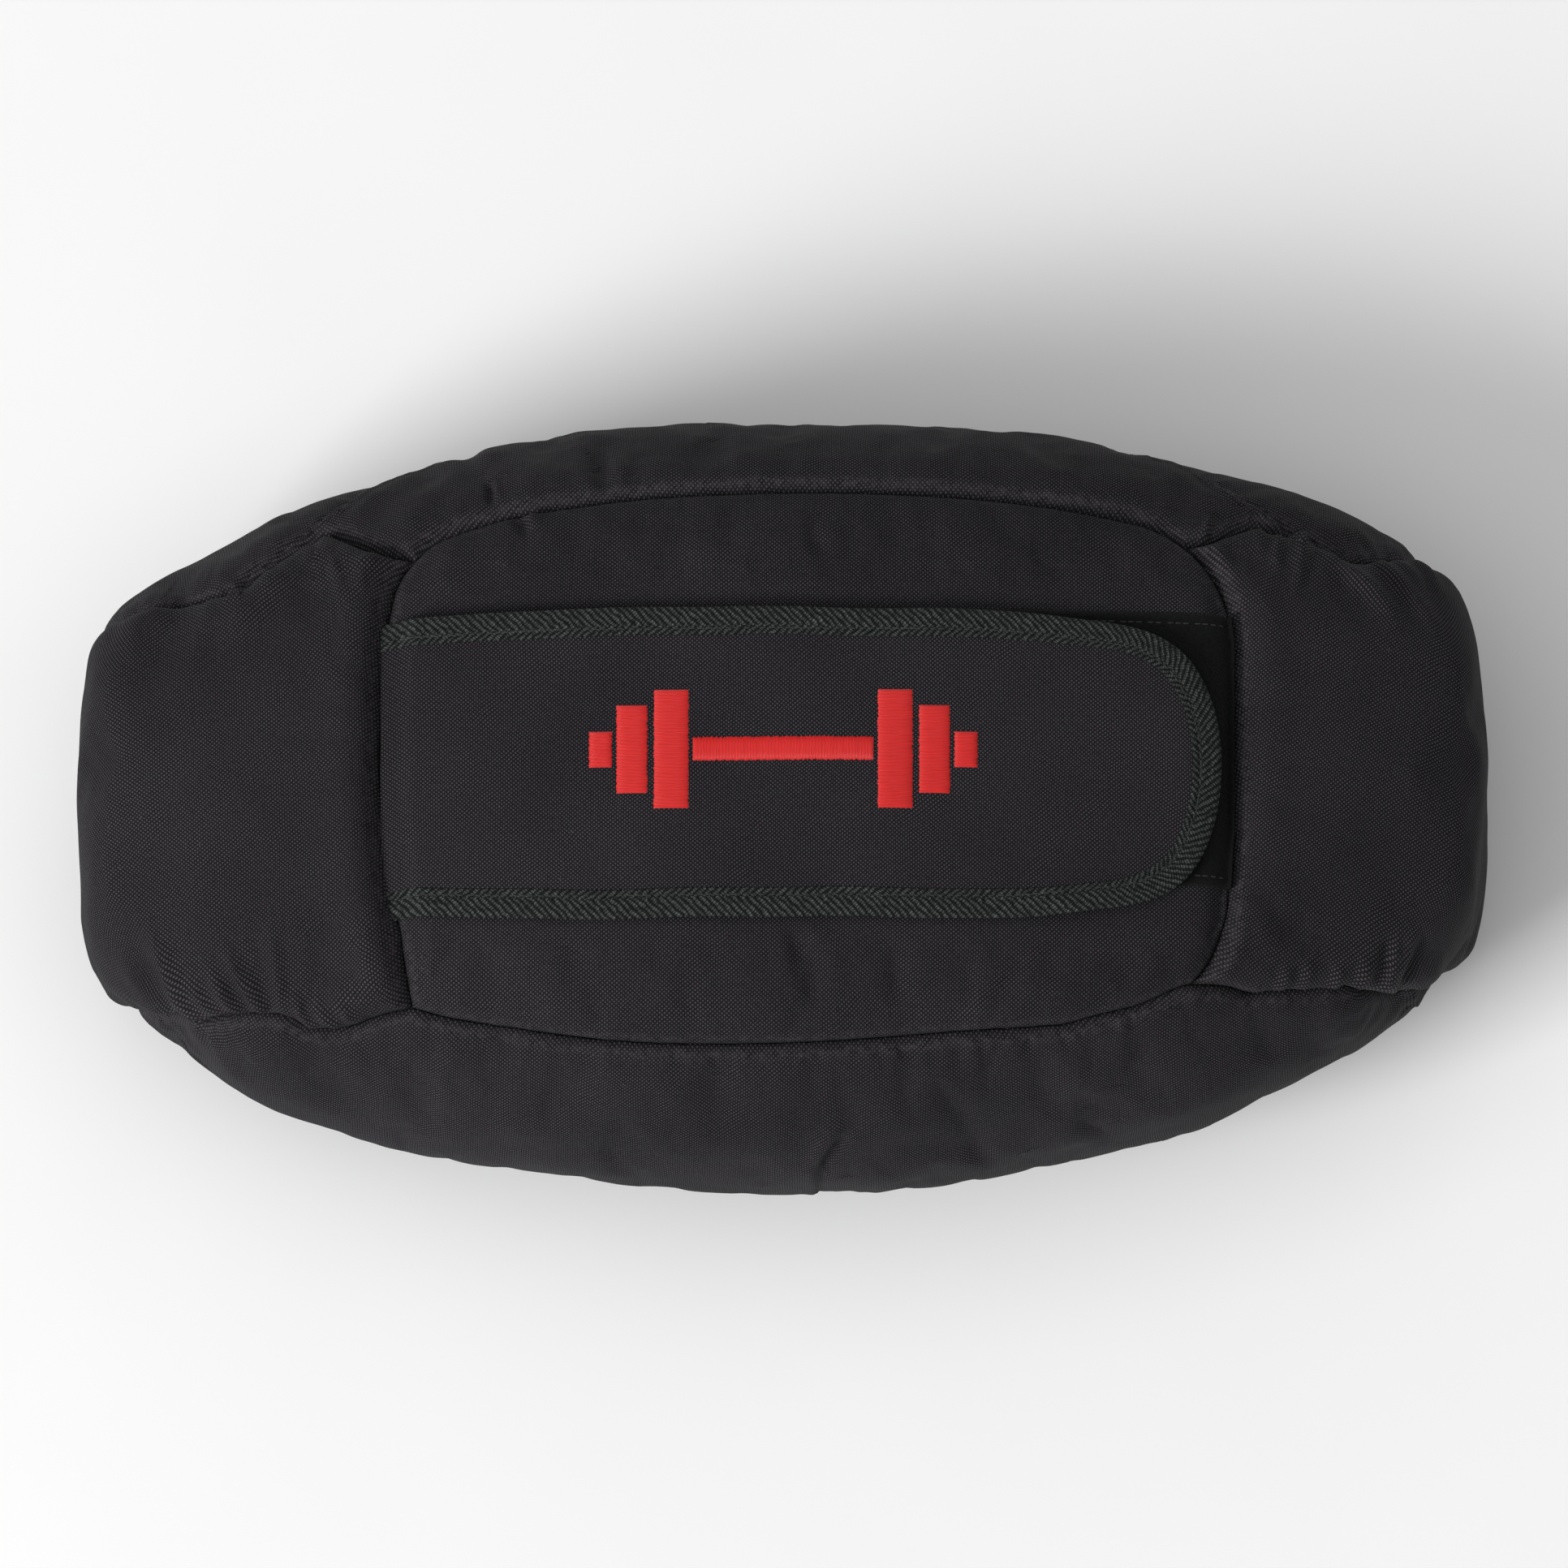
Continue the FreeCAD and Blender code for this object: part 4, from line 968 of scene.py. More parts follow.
def twill_tape(name, colour, pale):
    """Edge tape: slanting ribs of fine threads. Its places are round the edge and across the tape."""
    s = Shader(name)
    u, v, _ = s.split(s.attribute("thread"))
    wide = s.math("ABSOLUTE", v)
    lean = s.scaled(s.math("GREATER_THAN", wide, TAPE_TURN), -2.2, 1.0)
    slant = s.math("SUBTRACT", u, s.times(v, lean))
    slant = s.plus(slant, s.times(s.noise(s.attribute("thread"), 0.3, 2.0, 0.6), 3.2))
    rib = s.scaled(s.math("COSINE", s.times(slant, 2 * math.pi / TAPE_RIB)), 0.5, 0.5)
    u = s.plus(u, s.times(s.noise(s.attribute("thread"), 0.16, 2.0), 2.4))
    crossing = s.plus(s.times(u, 0.75), s.times(s.times(v, lean), 0.75))
    dots = s.math("ABSOLUTE", s.math("SINE", s.times(crossing, math.pi / 1.15)))
    strands = s.math("ABSOLUTE", s.math("SINE", s.times(slant, math.pi / (TAPE_RIB / 3))))
    height = s.times(dots, s.scaled(strands, 0.7, 0.3))
    fuzz = s.noise(s.place(), 1.3, 3.0, 0.7)
    uneven = s.ramp(s.noise(s.attribute("thread"), 0.45, 3.0, 0.7), 0.3, 0.7, 0.25, 1.5)
    # Painted light and shade: the ribs' crests and strands are coloured pale and the gaps between them dark, times
    # random unevenness and fuzz.
    lit = s.times(s.scaled(s.math("POWER", rib, 1.6), 0.9, 0.1), s.scaled(height, 0.9, 0.1))
    lit = s.times(s.times(lit, uneven), s.scaled(fuzz, 1.4, 0.3))
    tone = s.mix(lit, colour, pale)
    normal = s.bump(height, 0.0003, 1.0, s.bump(fuzz, 0.0002, 0.5))
    return s.finish(Base_Color=tone, Roughness=s.ramp(height, 0, 1, 0.85, 0.5), Normal=normal,
                    Sheen_Weight=0.02, Sheen_Roughness=0.4, Specular_IOR_Level=0.12)


def pile(name, colour, pale, size, depth):
    """Fuzzy loops, or the hooks that catch them."""
    s = Shader(name)
    cells = s.add("ShaderNodeTexVoronoi", settings={"feature": "F1"}, Vector=s.place(), Scale=size)
    fuzz = s.noise(s.place(), size * 1.7, 5.0, 0.75)
    height = s.plus(s.times(s.math("SUBTRACT", 1.0, cells), 0.6), s.times(fuzz, 0.6))
    tone = s.mix(s.ramp(height, 0.35, 0.95), colour, pale)
    return s.finish(Base_Color=tone, Roughness=s.ramp(fuzz, 0.3, 0.7, 0.95, 0.8),
                    Normal=s.bump(height, depth, 1.0), Sheen_Weight=0.04, Sheen_Roughness=0.6,
                    Specular_IOR_Level=0.1)


def satin(name, colour, groove_shade):
    """Embroidery: fine threads laid side by side across each bar. Places run across the threads."""
    s = Shader(name)
    u, v, _ = s.split(s.attribute("thread"))
    jitter = s.noise(s.attribute("thread"), 0.25, 2.0)
    line = s.plus(u, s.times(jitter, 0.5))
    height = s.math("ABSOLUTE", s.math("SINE", s.times(line, math.pi / 0.42)))
    stretched = s.add("ShaderNodeCombineXYZ", i0=s.times(u, 2.2), i1=s.times(v, 0.12), i2=0.0)
    streak = s.noise(stretched, 1.0, 3.0)
    # Painted shade and sheen: the grooves between the threads take the darker red as painted shade, and the raised
    # threads and the streaks along them take the brighter red as a painted sheen.
    tone = s.mix(s.ramp(s.plus(height, s.times(streak, 0.9)), 0.35, 1.35), groove_shade, colour)
    return s.finish(Base_Color=tone, Roughness=s.ramp(streak, 0.3, 0.7, 0.36, 0.52),
                    Normal=s.bump(height, 0.00014, 1.0), Sheen_Weight=0.2, Sheen_Roughness=0.3,
                    Specular_IOR_Level=0.5)


def thread_material(name, colour, pale):
    s = Shader(name)
    slanting = {"wave_type": "BANDS", "bands_direction": "DIAGONAL"}
    twist = s.add("ShaderNodeTexWave", settings=slanting, Vector=s.place(), Scale=0.9, Distortion=1.5)
    tone = s.mix(twist, colour, pale)
    return s.finish(Base_Color=tone, Roughness=s.ramp(twist, 0, 1, 0.7, 0.5),
                    Normal=s.bump(twist, 0.0001, 1.0), Sheen_Weight=0.2)


def hard(name, colour, pale, rough, metallic, grain, depth, coat):
    """Metal or moulded plastic, mottled and finely scratched."""
    s = Shader(name)
    mottle = s.noise(s.place(), grain, 5.0, 0.65)
    times = {"operation": "MULTIPLY"}
    brushed = s.add("ShaderNodeVectorMath", settings=times, i0=s.place(), i1=(0.15, 2.4, 2.4))
    scratch = s.noise(brushed, 1.0, 3.0)
    tone = s.mix(s.ramp(s.plus(mottle, s.times(scratch, 0.5)), 0.55, 1.0), colour, pale)
    gloss = s.ramp(scratch, 0.3, 0.75, rough - 0.08, rough + 0.14)
    return s.finish(Base_Color=tone, Roughness=gloss, Metallic=metallic, Normal=s.bump(scratch, depth, 0.6),
                    Coat_Weight=coat)


def sand_material():
    s = Shader("sand")
    grains = s.add("ShaderNodeTexVoronoi", output=1, Vector=s.place(), Scale=1.6)
    cells = s.add("ShaderNodeTexVoronoi", Vector=s.place(), Scale=1.6)
    tint = s.times(s.split(grains)[0], 0.8)
    tone = s.mix(tint, (0.28, 0.19, 0.10, 1), (0.62, 0.50, 0.34, 1))
    return s.finish(Base_Color=tone, Roughness=s.ramp(cells, 0.0, 0.6, 0.6, 0.95),
                    Normal=s.bump(cells, 0.0004, 1.0))


# Woven cloth's relief in metres, and how pale its specks of lint are
THREAD_RELIEF, LINT = 0.0002, 0.3
# The cloth's colour range: the dark end is painted shade in the weave's gaps, the pale end a painted highlight on its
# raised threads (and the base of the paler wear).
CLOTH_DARK, CLOTH_PALE = (0.0010, 0.0008, 0.0011, 1), (0.072, 0.066, 0.075, 1)
materials = {
    "bag_fabric": woven("bag_fabric", CLOTH_DARK, CLOTH_PALE),
    "edge_tape": twill_tape("edge_tape", (0.0016, 0.0020, 0.0019, 1), (0.108, 0.121, 0.117, 1)),
    "loop_tape": pile("loop_tape", (0.0015, 0.0018, 0.0017, 1), (0.006, 0.0068, 0.0066, 1),
                      size=1.1, depth=0.0006),
    "hook_tape": pile("hook_tape", (0.004, 0.004, 0.004, 1), (0.030, 0.030, 0.031, 1),
                      size=0.75, depth=0.0009),
    # The embroidery's red, and a darker red painted as shade in the grooves between its threads.
    "emblem_thread": satin("emblem_thread", (0.80, 0.018, 0.016, 1), (0.42, 0.006, 0.006, 1)),
    "zip_tape": woven("zip_tape", (0.008, 0.008, 0.009, 1), (0.035, 0.035, 0.038, 1), pitch=(0.6, 0.5),
                      threads=False),
    "zip_teeth": hard("zip_teeth", (0.010, 0.010, 0.011, 1), (0.035, 0.035, 0.037, 1),
                      rough=0.38, metallic=0.0, grain=0.4, depth=0.0001, coat=0.2),
    "slider_metal": hard("slider_metal", (0.020, 0.020, 0.022, 1), (0.22, 0.21, 0.20, 1),
                         rough=0.36, metallic=0.85, grain=0.25, depth=0.00012, coat=0.1),
    "liner_fabric": woven("liner_fabric", (0.55, 0.54, 0.50, 1), (0.78, 0.77, 0.73, 1), pitch=(1.1, 1.1),
                          sheen=0.0, rough=0.45, threads=False),
    "sand": sand_material(),
    "stitch_thread": thread_material("stitch_thread", (0.003, 0.0034, 0.0034, 1), (0.006, 0.0068, 0.0066, 1)),
}


def dress(thing, slot, material=None):
    thing.data.materials.clear()
    thing.data.materials.append(materials[material or slot])
    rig.slot(thing, slot)
    return thing


def thicken(thing, thickness):
    """Give a sheet its thickness, inwards."""
    solid = thing.modifiers.new("thickness", "SOLIDIFY")
    solid.thickness = thickness * MM
    solid.offset = -1.0
    return thing


# The stuffed bag

shell = closed_form("shell", 0.0, 4.0)
mesh = shell.data
points = points_of(mesh)
labels, ends = panel_of(points), ends_of(mesh)
seam_marks = np.zeros(len(points), bool)
different = labels[ends[:, 0]] != labels[ends[:, 1]]
seam_marks[ends[different].ravel()] = True
near_seam = spread_marks(ends, seam_marks, 1)
x, y, z = points.T
closure = (np.abs(y - CLOSURE_MIDDLE) < CLOSURE_HALF) & (x > CLOSURE_LEFT + 2) & (x < CLOSURE_RIGHT)
closure &= z > UPPER_SIDE
held = np.zeros(len(points))
held[near_seam] = 0.7
held[seam_marks] = 1.0
held[closure | (z < 4)] = 1.0
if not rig.quick():
    swell_cloth(shell, held)
subdivide = shell.modifiers.new("finer", "SUBSURF")
subdivide.levels = 1
apply_modifiers(shell)

bm = bmesh.new()
bm.from_mesh(shell.data)
bm.verts.index_update()
ends, points = edge_ends(bm), bm_points(bm)
labels = panel_of(points)
marks = np.zeros(len(points), bool)
marks[ends[labels[ends[:, 0]] != labels[ends[:, 1]]].ravel()] = True
marks = spread_marks(ends, marks, 3)
for near, signed, _, width, _ in fold_places(*points.T):
    marks[near[np.abs(signed) < 2.6 * width]] = True
bm.edges.ensure_lookup_table()
fine = [bm.edges[i] for i in np.nonzero(marks[ends[:, 0]] & marks[ends[:, 1]])[0]]
bmesh.ops.subdivide_edges(bm, edges=fine, cuts=1, use_grid_fill=True)
bm.verts.index_update()
seam_indices = cut_at_seams(bm)
bm.normal_update()
bm.to_mesh(shell.data)
all_points = bm_points(bm)
panel_by_face = panel_of(np.array([f.calc_center_median()[:] for f in bm.faces]) / MM)
bm.free()
mesh = shell.data
seam_at = all_points[seam_indices]
x, y, z = seam_at.T
in_front = (np.abs(y) < 12) & (x > SLOT[0] - 3) & (x < SLOT[1] + 3) & (z > UPPER_SIDE)
labels = panel_of(all_points)
distance = shape_panels(mesh, labels, seam_at[~in_front])

shaped = points_of(mesh)
polygons = [tuple(p.vertices) for p in mesh.polygons]
bag_pieces = {}
for label, name in PANELS.items():
    chosen = [polygons[i] for i in np.nonzero(panel_by_face == label)[0]]
    used = np.unique(np.concatenate([np.array(f) for f in chosen]))
    place = {int(v): i for i, v in enumerate(used)}
    piece = make_object(name + "_cloth", shaped[used], [[place[int(v)] for v in f] for f in chosen])
    set_threads(piece.data, thread_places(all_points[used], label))
    set_worn(piece.data, np.exp(-((distance[used] - 3) / 2.0) ** 2))
    thicken(piece, 1.0)
    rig.ride(piece, "bag")
    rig.replaces(piece, name)
    dress(piece, "bag_fabric")
    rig.padded(piece, fill=0.85)
    bag_pieces[label] = piece
bpy.data.objects.remove(shell)


def surface_tree(piece):
    mesh = piece.data
    return BVHTree.FromPolygons([v.co for v in mesh.vertices], [tuple(p.vertices) for p in mesh.polygons])


front_surface = surface_tree(bag_pieces[FRONT])


def front_height(x, y):
    """Height of the front panel's cloth at a plan place."""
    hit = front_surface.ray_cast(Vector((x * MM, y * MM, 0.3)), Vector((0, 0, -1)))[0]
    return hit.z / MM if hit else float(crown(x))


# What is inside

def whole_shell():
    spots, faces = [], []
    for piece in bag_pieces.values():
        start = len(spots)
        spots.extend(v.co for v in piece.data.vertices)
        faces.extend(tuple(i + start for i in p.vertices) for p in piece.data.polygons)
    return BVHTree.FromPolygons(spots, faces)


shell_surface = whole_shell()
# How deep under a place the search for the cloth above it starts
CORE = 16.0


def keep_inside(points, normals, clearance):
    """Draw places in where the bag's cloth comes nearer than the clearance, as under its seams."""
    out = points.copy()
    for i, (point, normal) in enumerate(zip(points, normals)):
        start = point - normal * CORE
        near = shell_surface.ray_cast(Vector(start * MM), Vector(normal), 3 * CORE * MM)[3]
        if near is not None:
            out[i] = start + normal * min(CORE, near / MM - clearance)
    return out


def inner_piece(name, inset, grain, rough, seed, clearance):
    piece = closed_form(name, inset, 9.0)
    finer = piece.modifiers.new("finer", "SUBSURF")
    finer.levels = 1
    apply_modifiers(piece)
    points, normals = points_of(piece.data), normals_of(piece.data)
    moved = points + normals * (field(points, grain, seed, 3) * rough - rough)[:, None]
    set_points(piece.data, keep_inside(moved, normals, clearance))
    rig.ride(piece, "bag")
    return piece


liner = inner_piece("liner_sack", inset=9.5, grain=24.0, rough=0.7, seed=11, clearance=5.0)
thicken(liner, 0.5)
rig.replaces(liner, "inner_liner")
dress(liner, "liner_fabric")
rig.padded(liner, fill=0.9)
sand = inner_piece("sand_load", inset=12.5, grain=40.0, rough=0.5, seed=12, clearance=8.0)
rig.replaces(sand, "sand_fill")
dress(sand, "sand")
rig.padded(sand, fill=1.0)

# The liner's mouth, rolled over twice under the zip
mouth_x = np.linspace(-130, -12, 100)
roll = [
    (-17.5, -7.4), (-6, -7.5), (6, -7.5), (17, -7.3), (17.8, -6.9), (17, -6.5), (2, -6.6), (-8, -6.5),
    (-16, -6.3), (-17.8, -6.8),
]
roll = rounded(roll + roll[:1], 1.2)[:-1]
rows = []
for x in mouth_x:
    crease = 0.25 * math.sin(x / 5.5) * math.sin(x / 17)
    rows.append([(x, y * (1 + 0.02 * math.sin(x / 9)), float(crown(x)) + h + crease) for y, h in roll])
mouth_points = np.array(rows).reshape(-1, 3)
mouth = make_object("liner_mouth", mouth_points, tube_faces(len(mouth_x), len(roll)))
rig.ride(mouth, "bag")
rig.replaces(mouth, "liner_closure")
dress(mouth, "liner_fabric")
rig.sheet(mouth, flat=(0.036, 0.118), held="folded", rests_on=["liner_sack"])


# The flap

def flap_swell(x, y):
    """How far the flap's cloth stands off its lowest lie. Its root dives into the front panel's seam."""
    x, y = np.asarray(x, float), np.asarray(y, float)
    wave = 0.55 * np.sin(x / 23 + 0.6) * np.sin(y / 31 + 1.1) + 0.35 * np.sin(x / 11 + y / 19)
    lifted = 0.9 + wave
    lifted = lifted + 0.9 * np.exp(-((x - 30) / 45) ** 2 - ((y + 5) / 40) ** 2)
    edge = smooth((FLAP_END - x) / 16)
    seam_y, seam_x = np.array(SEAM_LEFT)[:, 1], np.array(SEAM_LEFT)[:, 0]
    past = x - np.interp(y, seam_y, seam_x)
    root = smooth((past + 1) / 14)
    return lifted * edge * root - 12.0 * (1 - root) + 0.8 * np.minimum(past + 1, 0)


def flap_lie(x, y):
    """Height that the heights of the flap's layers are counted from, at a plan place."""
    return crown(x) + flap_swell(x, y)


def flap_width(x, inset):
    """Half the flap's width at each place along it."""
    x = np.asarray(x, float)
    corner, bow = TIP_CORNER - inset, TIP_BOW - inset
    bow_x = FLAP_END - TIP_BOW
    corner_y = FLAP_HALF - TIP_CORNER
    corner_x = bow_x + math.sqrt((TIP_BOW - TIP_CORNER) ** 2 - corner_y ** 2)
    meet_x = bow_x + (corner_x - bow_x) * bow / (TIP_BOW - TIP_CORNER)
    on_corner = corner_y + np.sqrt(np.maximum(corner ** 2 - (x - corner_x) ** 2, 0))
    on_bow = np.sqrt(np.maximum(bow ** 2 - (x - bow_x) ** 2, 0.05))
    return np.where(x < corner_x, FLAP_HALF - inset, np.where(x < meet_x, on_corner, on_bow))


def taper(x):
    """The flap draws in a little towards its root and before its rounded corners."""
    x = np.asarray(x, float)
    return 1 - 0.035 * (1 - smooth((x - FLAP_ROOT) / 70)) - 0.085 * np.exp(-((x - 128) / 27) ** 2)


ROW_STEP, TIP_STRETCH = 2.0, 26


def flap_rows(left, right, inset):
    """Places of a layer's rows along the flap, drawn together towards its rounded end."""
    end = FLAP_END - inset
    if right > end:
        straight = np.arange(left, end - TIP_STRETCH, ROW_STEP)
        curve = end - TIP_STRETCH * (1 - np.sin(np.linspace(0, math.pi / 2, 22)))
        return np.concatenate([straight[:-1], curve])
    return np.linspace(left, right, int((right - left) / ROW_STEP) + 1)


def flap_layer(name, left, right, inset, low, high, across=61):
    """A flat layer of the flap between two heights over the crown, as a closed thin solid."""
    xs = flap_rows(left, right, inset)
    width = flap_width(xs, inset)
    share = np.sin(np.linspace(-math.pi / 2, math.pi / 2, across) * 0.92) / math.sin(math.pi / 2 * 0.92)
    grid_x = np.repeat(xs[:, None], across, 1)
    grid_y = width[:, None] * share[None, :] * taper(xs)[:, None]
    over = flap_lie(grid_x, grid_y)
    upper = np.stack([grid_x, grid_y, over + high], -1).reshape(-1, 3)
    lower = np.stack([grid_x, grid_y, over + low], -1).reshape(-1, 3)
    piece = make_object(name, np.vstack([upper, lower]), layered_faces(len(xs), across))
    face_outwards(piece)
    points = points_of(piece.data)
    set_threads(piece.data, flat_places(points[:, 0], points[:, 1]))
    set_worn(piece.data, np.zeros(len(points)))
    mark_sharp_rim(piece)
    return piece


SHARP_RIM = math.radians(50)


def mark_sharp_rim(piece):
    """Keep the thin rims from bending the shading of the broad faces."""
    bm = bmesh.new()
    bm.from_mesh(piece.data)
    for edge in bm.edges:
        if len(edge.link_faces) == 2 and edge.calc_face_angle(0) > SHARP_RIM:
            edge.smooth = False
    bm.to_mesh(piece.data)
    bm.free()


ROOT_BLEND = ((-151, 0, 185), (-116, 0, 185))
TIP_BLEND = ((FLAP_FOLD - 11, 0, 193), (FLAP_FOLD + 11, 0, 193))


def bend_root(piece):
    start, end = (tuple(c * MM for c in p) for p in ROOT_BLEND)
    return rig.blend(piece, "bag", "flap", start=start, end=end)


def bend_tip(piece):
    start, end = (tuple(c * MM for c in p) for p in TIP_BLEND)
    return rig.blend(piece, "flap", "flap_tip", start=start, end=end)


BEND = {"root": bend_root, "tip": bend_tip}


def flap_pair(make, slot, node, flats, rests):
    """The root's and the tip's piece of one layer of the flap."""
    for part, left, right in (("root", FLAP_ROOT - 5, FLAP_SPLIT), ("tip", FLAP_SPLIT, BEYOND_TIP)):
        piece = make(part, left, right)
        BEND[part](piece)
        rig.replaces(piece, f"{node}_{part}")
        dress(piece, slot)
        wide, long, area = flats[part]
        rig.sheet(piece, flat=(wide, long), held="laid", rests_on=rests, area=area)


flap_pair(lambda part, l, r: flap_layer(f"flap_cloth_{part}", l, r, 3.0, LINING_HIGH + 0.05, FACE_HIGH),
          "bag_fabric", "flap_face", flats={"root": (0.114, 0.229, None), "tip": (0.114, 0.090, 0.0090)},
          rests=["front_panel_cloth", "loop_patch_pile"])
flap_pair(lambda part, l, r: flap_layer(f"flap_backing_{part}", l, r, 3.2, LINING_LOW, LINING_HIGH, 41),
          "bag_fabric", "flap_lining", flats={"root": (0.114, 0.229, None), "tip": (0.114, 0.090, 0.0090)},
          rests=["front_panel_cloth", "loop_patch_pile"])
flap_pair(lambda part, l, r: flap_layer(f"flap_hooks_{part}", max(l, HOOK_START), r, 13.0, HOOK_LOW,
                                        LINING_LOW - 0.05, 41),
          "hook_tape", "hook_patch", flats={"root": (0.094, 0.052, None), "tip": (0.094, 0.080, 0.0064)},
          rests=["loop_patch_pile"])


def flap_edge_path(step):
    """The flap's outer edge in plan, from the root's upper side round the tip to its lower side."""
    bow_x, corner_y = FLAP_END - TIP_BOW, FLAP_HALF - TIP_CORNER
    corner_x = bow_x + math.sqrt((TIP_BOW - TIP_CORNER) ** 2 - corner_y ** 2)
    meet = math.atan2(corner_y, corner_x - bow_x)
    line = [(FLAP_ROOT - 5, FLAP_HALF), (corner_x, FLAP_HALF)]
    line += [(corner_x + TIP_CORNER * math.cos(a), corner_y + TIP_CORNER * math.sin(a))
             for a in np.linspace(math.pi / 2, meet, 40)[1:]]
    line += [(bow_x + TIP_BOW * math.cos(a), TIP_BOW * math.sin(a)) for a in np.linspace(meet, 0, 30)[1:]]
    line += [(x, -y) for x, y in line[::-1][1:]]
    line = np.array(line)
    along = distances_along(line)
    at = np.linspace(0, along[-1], int(along[-1] / step))
    path = np.stack([np.interp(at, along, line[:, 0]), np.interp(at, along, line[:, 1])], 1)
    return path, at


def edge_frames(path):
    going = np.gradient(path, axis=0)
    going /= np.linalg.norm(going, axis=1, keepdims=True)
    inward = np.stack([going[:, 1], -going[:, 0]], 1)
    return going, inward


TAPE_SECTION = [
    (11.0, 6.25), (11.05, 6.6), (10.7, 6.9), (9.4, 6.95), (8.4, 6.62), (7.4, 6.98), (5.6, 7.12),
    (3.8, 7.12), (2.2, 6.98), (1.0, 6.6), (0.25, 5.95), (0.0, 5.2), (0.25, 4.5), (0.9, 3.98),
    (2.2, 3.72), (4.5, 3.66), (7.4, 3.72), (8.4, 3.9), (9.4, 3.74), (10.8, 3.74), (11.0, 3.96),
    (8.4, 4.0), (4.5, 4.0), (2.0, 4.05), (1.3, 5.1), (2.0, 6.2), (6.0, 6.22),
]


def make_tape(start, stop):
    """Folded edge tape along part of the flap's edge."""
    section = rounded(TAPE_SECTION + TAPE_SECTION[:1], 0.55)[:-1]
    going, inward = edge_frames(edge_path)
    rows, places = [], []
    for i in range(start, stop):
        wander = 0.45 * math.sin(edge_at[i] / 27) + 0.3 * math.sin(edge_at[i] / 9.5 + 1)
        x, y = edge_path[i] + inward[i] * wander * 0.8
        s, h = section[:, 0], section[:, 1]
        outer = h > 5.2
        rib = tape_ribs(edge_at[i], s)
        pinch = math.exp(-((edge_at[i] % 3.4 - 1.7) / 0.8) ** 2)
        dimple = np.exp(-((s - TAPE_STITCHES) / 0.9) ** 2) * 0.25 * pinch
        h = h + np.where(outer, 0.34 * (rib - 0.6) - dimple, 0.0)
        px = x + inward[i, 0] * s
        py = (y + inward[i, 1] * s) * taper(px)
        rows.append(np.stack([px, py, flap_lie(px, py) + h], 1))
        girth = np.where(outer, s, -s)
        places.append(flat_places(np.full(len(s), edge_at[i]), girth))
    return np.vstack(rows), tube_faces(len(rows), len(section)), np.vstack(places)


def join_parts(name, parts):
    points, faces, places, base = [], [], [], 0
    for part_points, part_faces, part_places in parts:
        points.append(part_points)
        faces += [tuple(base + i for i in f) for f in part_faces]
        places.append(part_places)
        base += len(part_points)
    piece = make_object(name, np.vstack(points), faces)
    face_outwards(piece)
    set_threads(piece.data, np.vstack(places))
    return piece


edge_path, edge_at = flap_edge_path(0.5)
turning = int(np.argmax(edge_path[:, 0]))
first_split = int(np.argmin(np.abs(edge_path[:turning, 0] - FLAP_SPLIT)))
last_split = turning + int(np.argmin(np.abs(edge_path[turning:, 0] - FLAP_SPLIT)))
tape_root = join_parts("flap_edge_tape_root", [
    make_tape(0, first_split + 1),
    make_tape(last_split, len(edge_path)),
])
tape_tip = join_parts("flap_edge_tape_tip", [make_tape(first_split, last_split + 1)])
for piece, part in ((tape_root, "root"), (tape_tip, "tip")):
    BEND[part](piece)
    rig.replaces(piece, f"flap_binding_{part}")
    dress(piece, "edge_tape")
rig.sheet(tape_root, flat=(0.025, 0.452), held="folded", rests_on=["flap_cloth_root"])
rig.sheet(tape_tip, flat=(0.025, 0.260), held="folded", rests_on=["flap_cloth_tip"])


def stitch(centre, along, up, length, radius):
    """One stitch: a short thread that dives into the cloth at both ends."""
    side = np.cross(up, along)
    rows = []
    for t in np.linspace(-1, 1, 9):
        lift = radius * 0.9 * (1 - t ** 4) - radius * 0.7
        thin = math.sqrt(max(1 - abs(t) ** 5, 0.04))
        for a in np.arange(6) / 6 * 2 * math.pi:
            rows.append(centre + along * t * length / 2 + up * (lift + radius * thin * math.sin(a))
                        + side * radius * thin * math.cos(a))
    return np.array(rows), tube_faces(9, 6), np.zeros((54, 3))


def stitch_row(places, pitch=3.4, length=2.5, radius=0.28):
    """Stitches along a line of points that carries its own up direction."""
    line = np.array([p for p, _ in places])
    ups = np.array([u for _, u in places])
    at = distances_along(line)
    out = []
    for s in np.arange(pitch / 2, at[-1] - pitch / 2, pitch):
        i = min(int(np.searchsorted(at, s)), len(line) - 2)
        along = line[i + 1] - line[i - 1]
        along /= np.linalg.norm(along)
        up = ups[i] - along * float(ups[i] @ along)
        out.append(stitch(line[i], along, up / np.linalg.norm(up), length, radius))
    return out


def edge_stitches(start, stop):
    _, inward = edge_frames(edge_path)
    places = []
    for i in range(start, stop, 2):
        x, y = edge_path[i] + inward[i] * TAPE_STITCHES
        y = y * float(taper(x))
        z = float(flap_lie(x, y)) + 6.72
        places.append((np.array([x, y, z]), np.array([0.0, 0.0, 1.0])))
    return stitch_row(places)


root_rows = edge_stitches(16, first_split) + edge_stitches(last_split + 2, len(edge_path) - 16)
root_stitches = join_parts("flap_edge_stitches_root", root_rows)
tip_stitches = join_parts("flap_edge_stitches_tip", edge_stitches(first_split + 4, last_split - 2))
for piece, part in ((root_stitches, "root"), (tip_stitches, "tip")):
    BEND[part](piece)
    dress(piece, "edge_tape", "stitch_thread")


# The embroidered dumb-bell

EMBLEM_LENGTH, EMBLEM_HEIGHT, EMBLEM_MIDDLE = 150, 46, 5
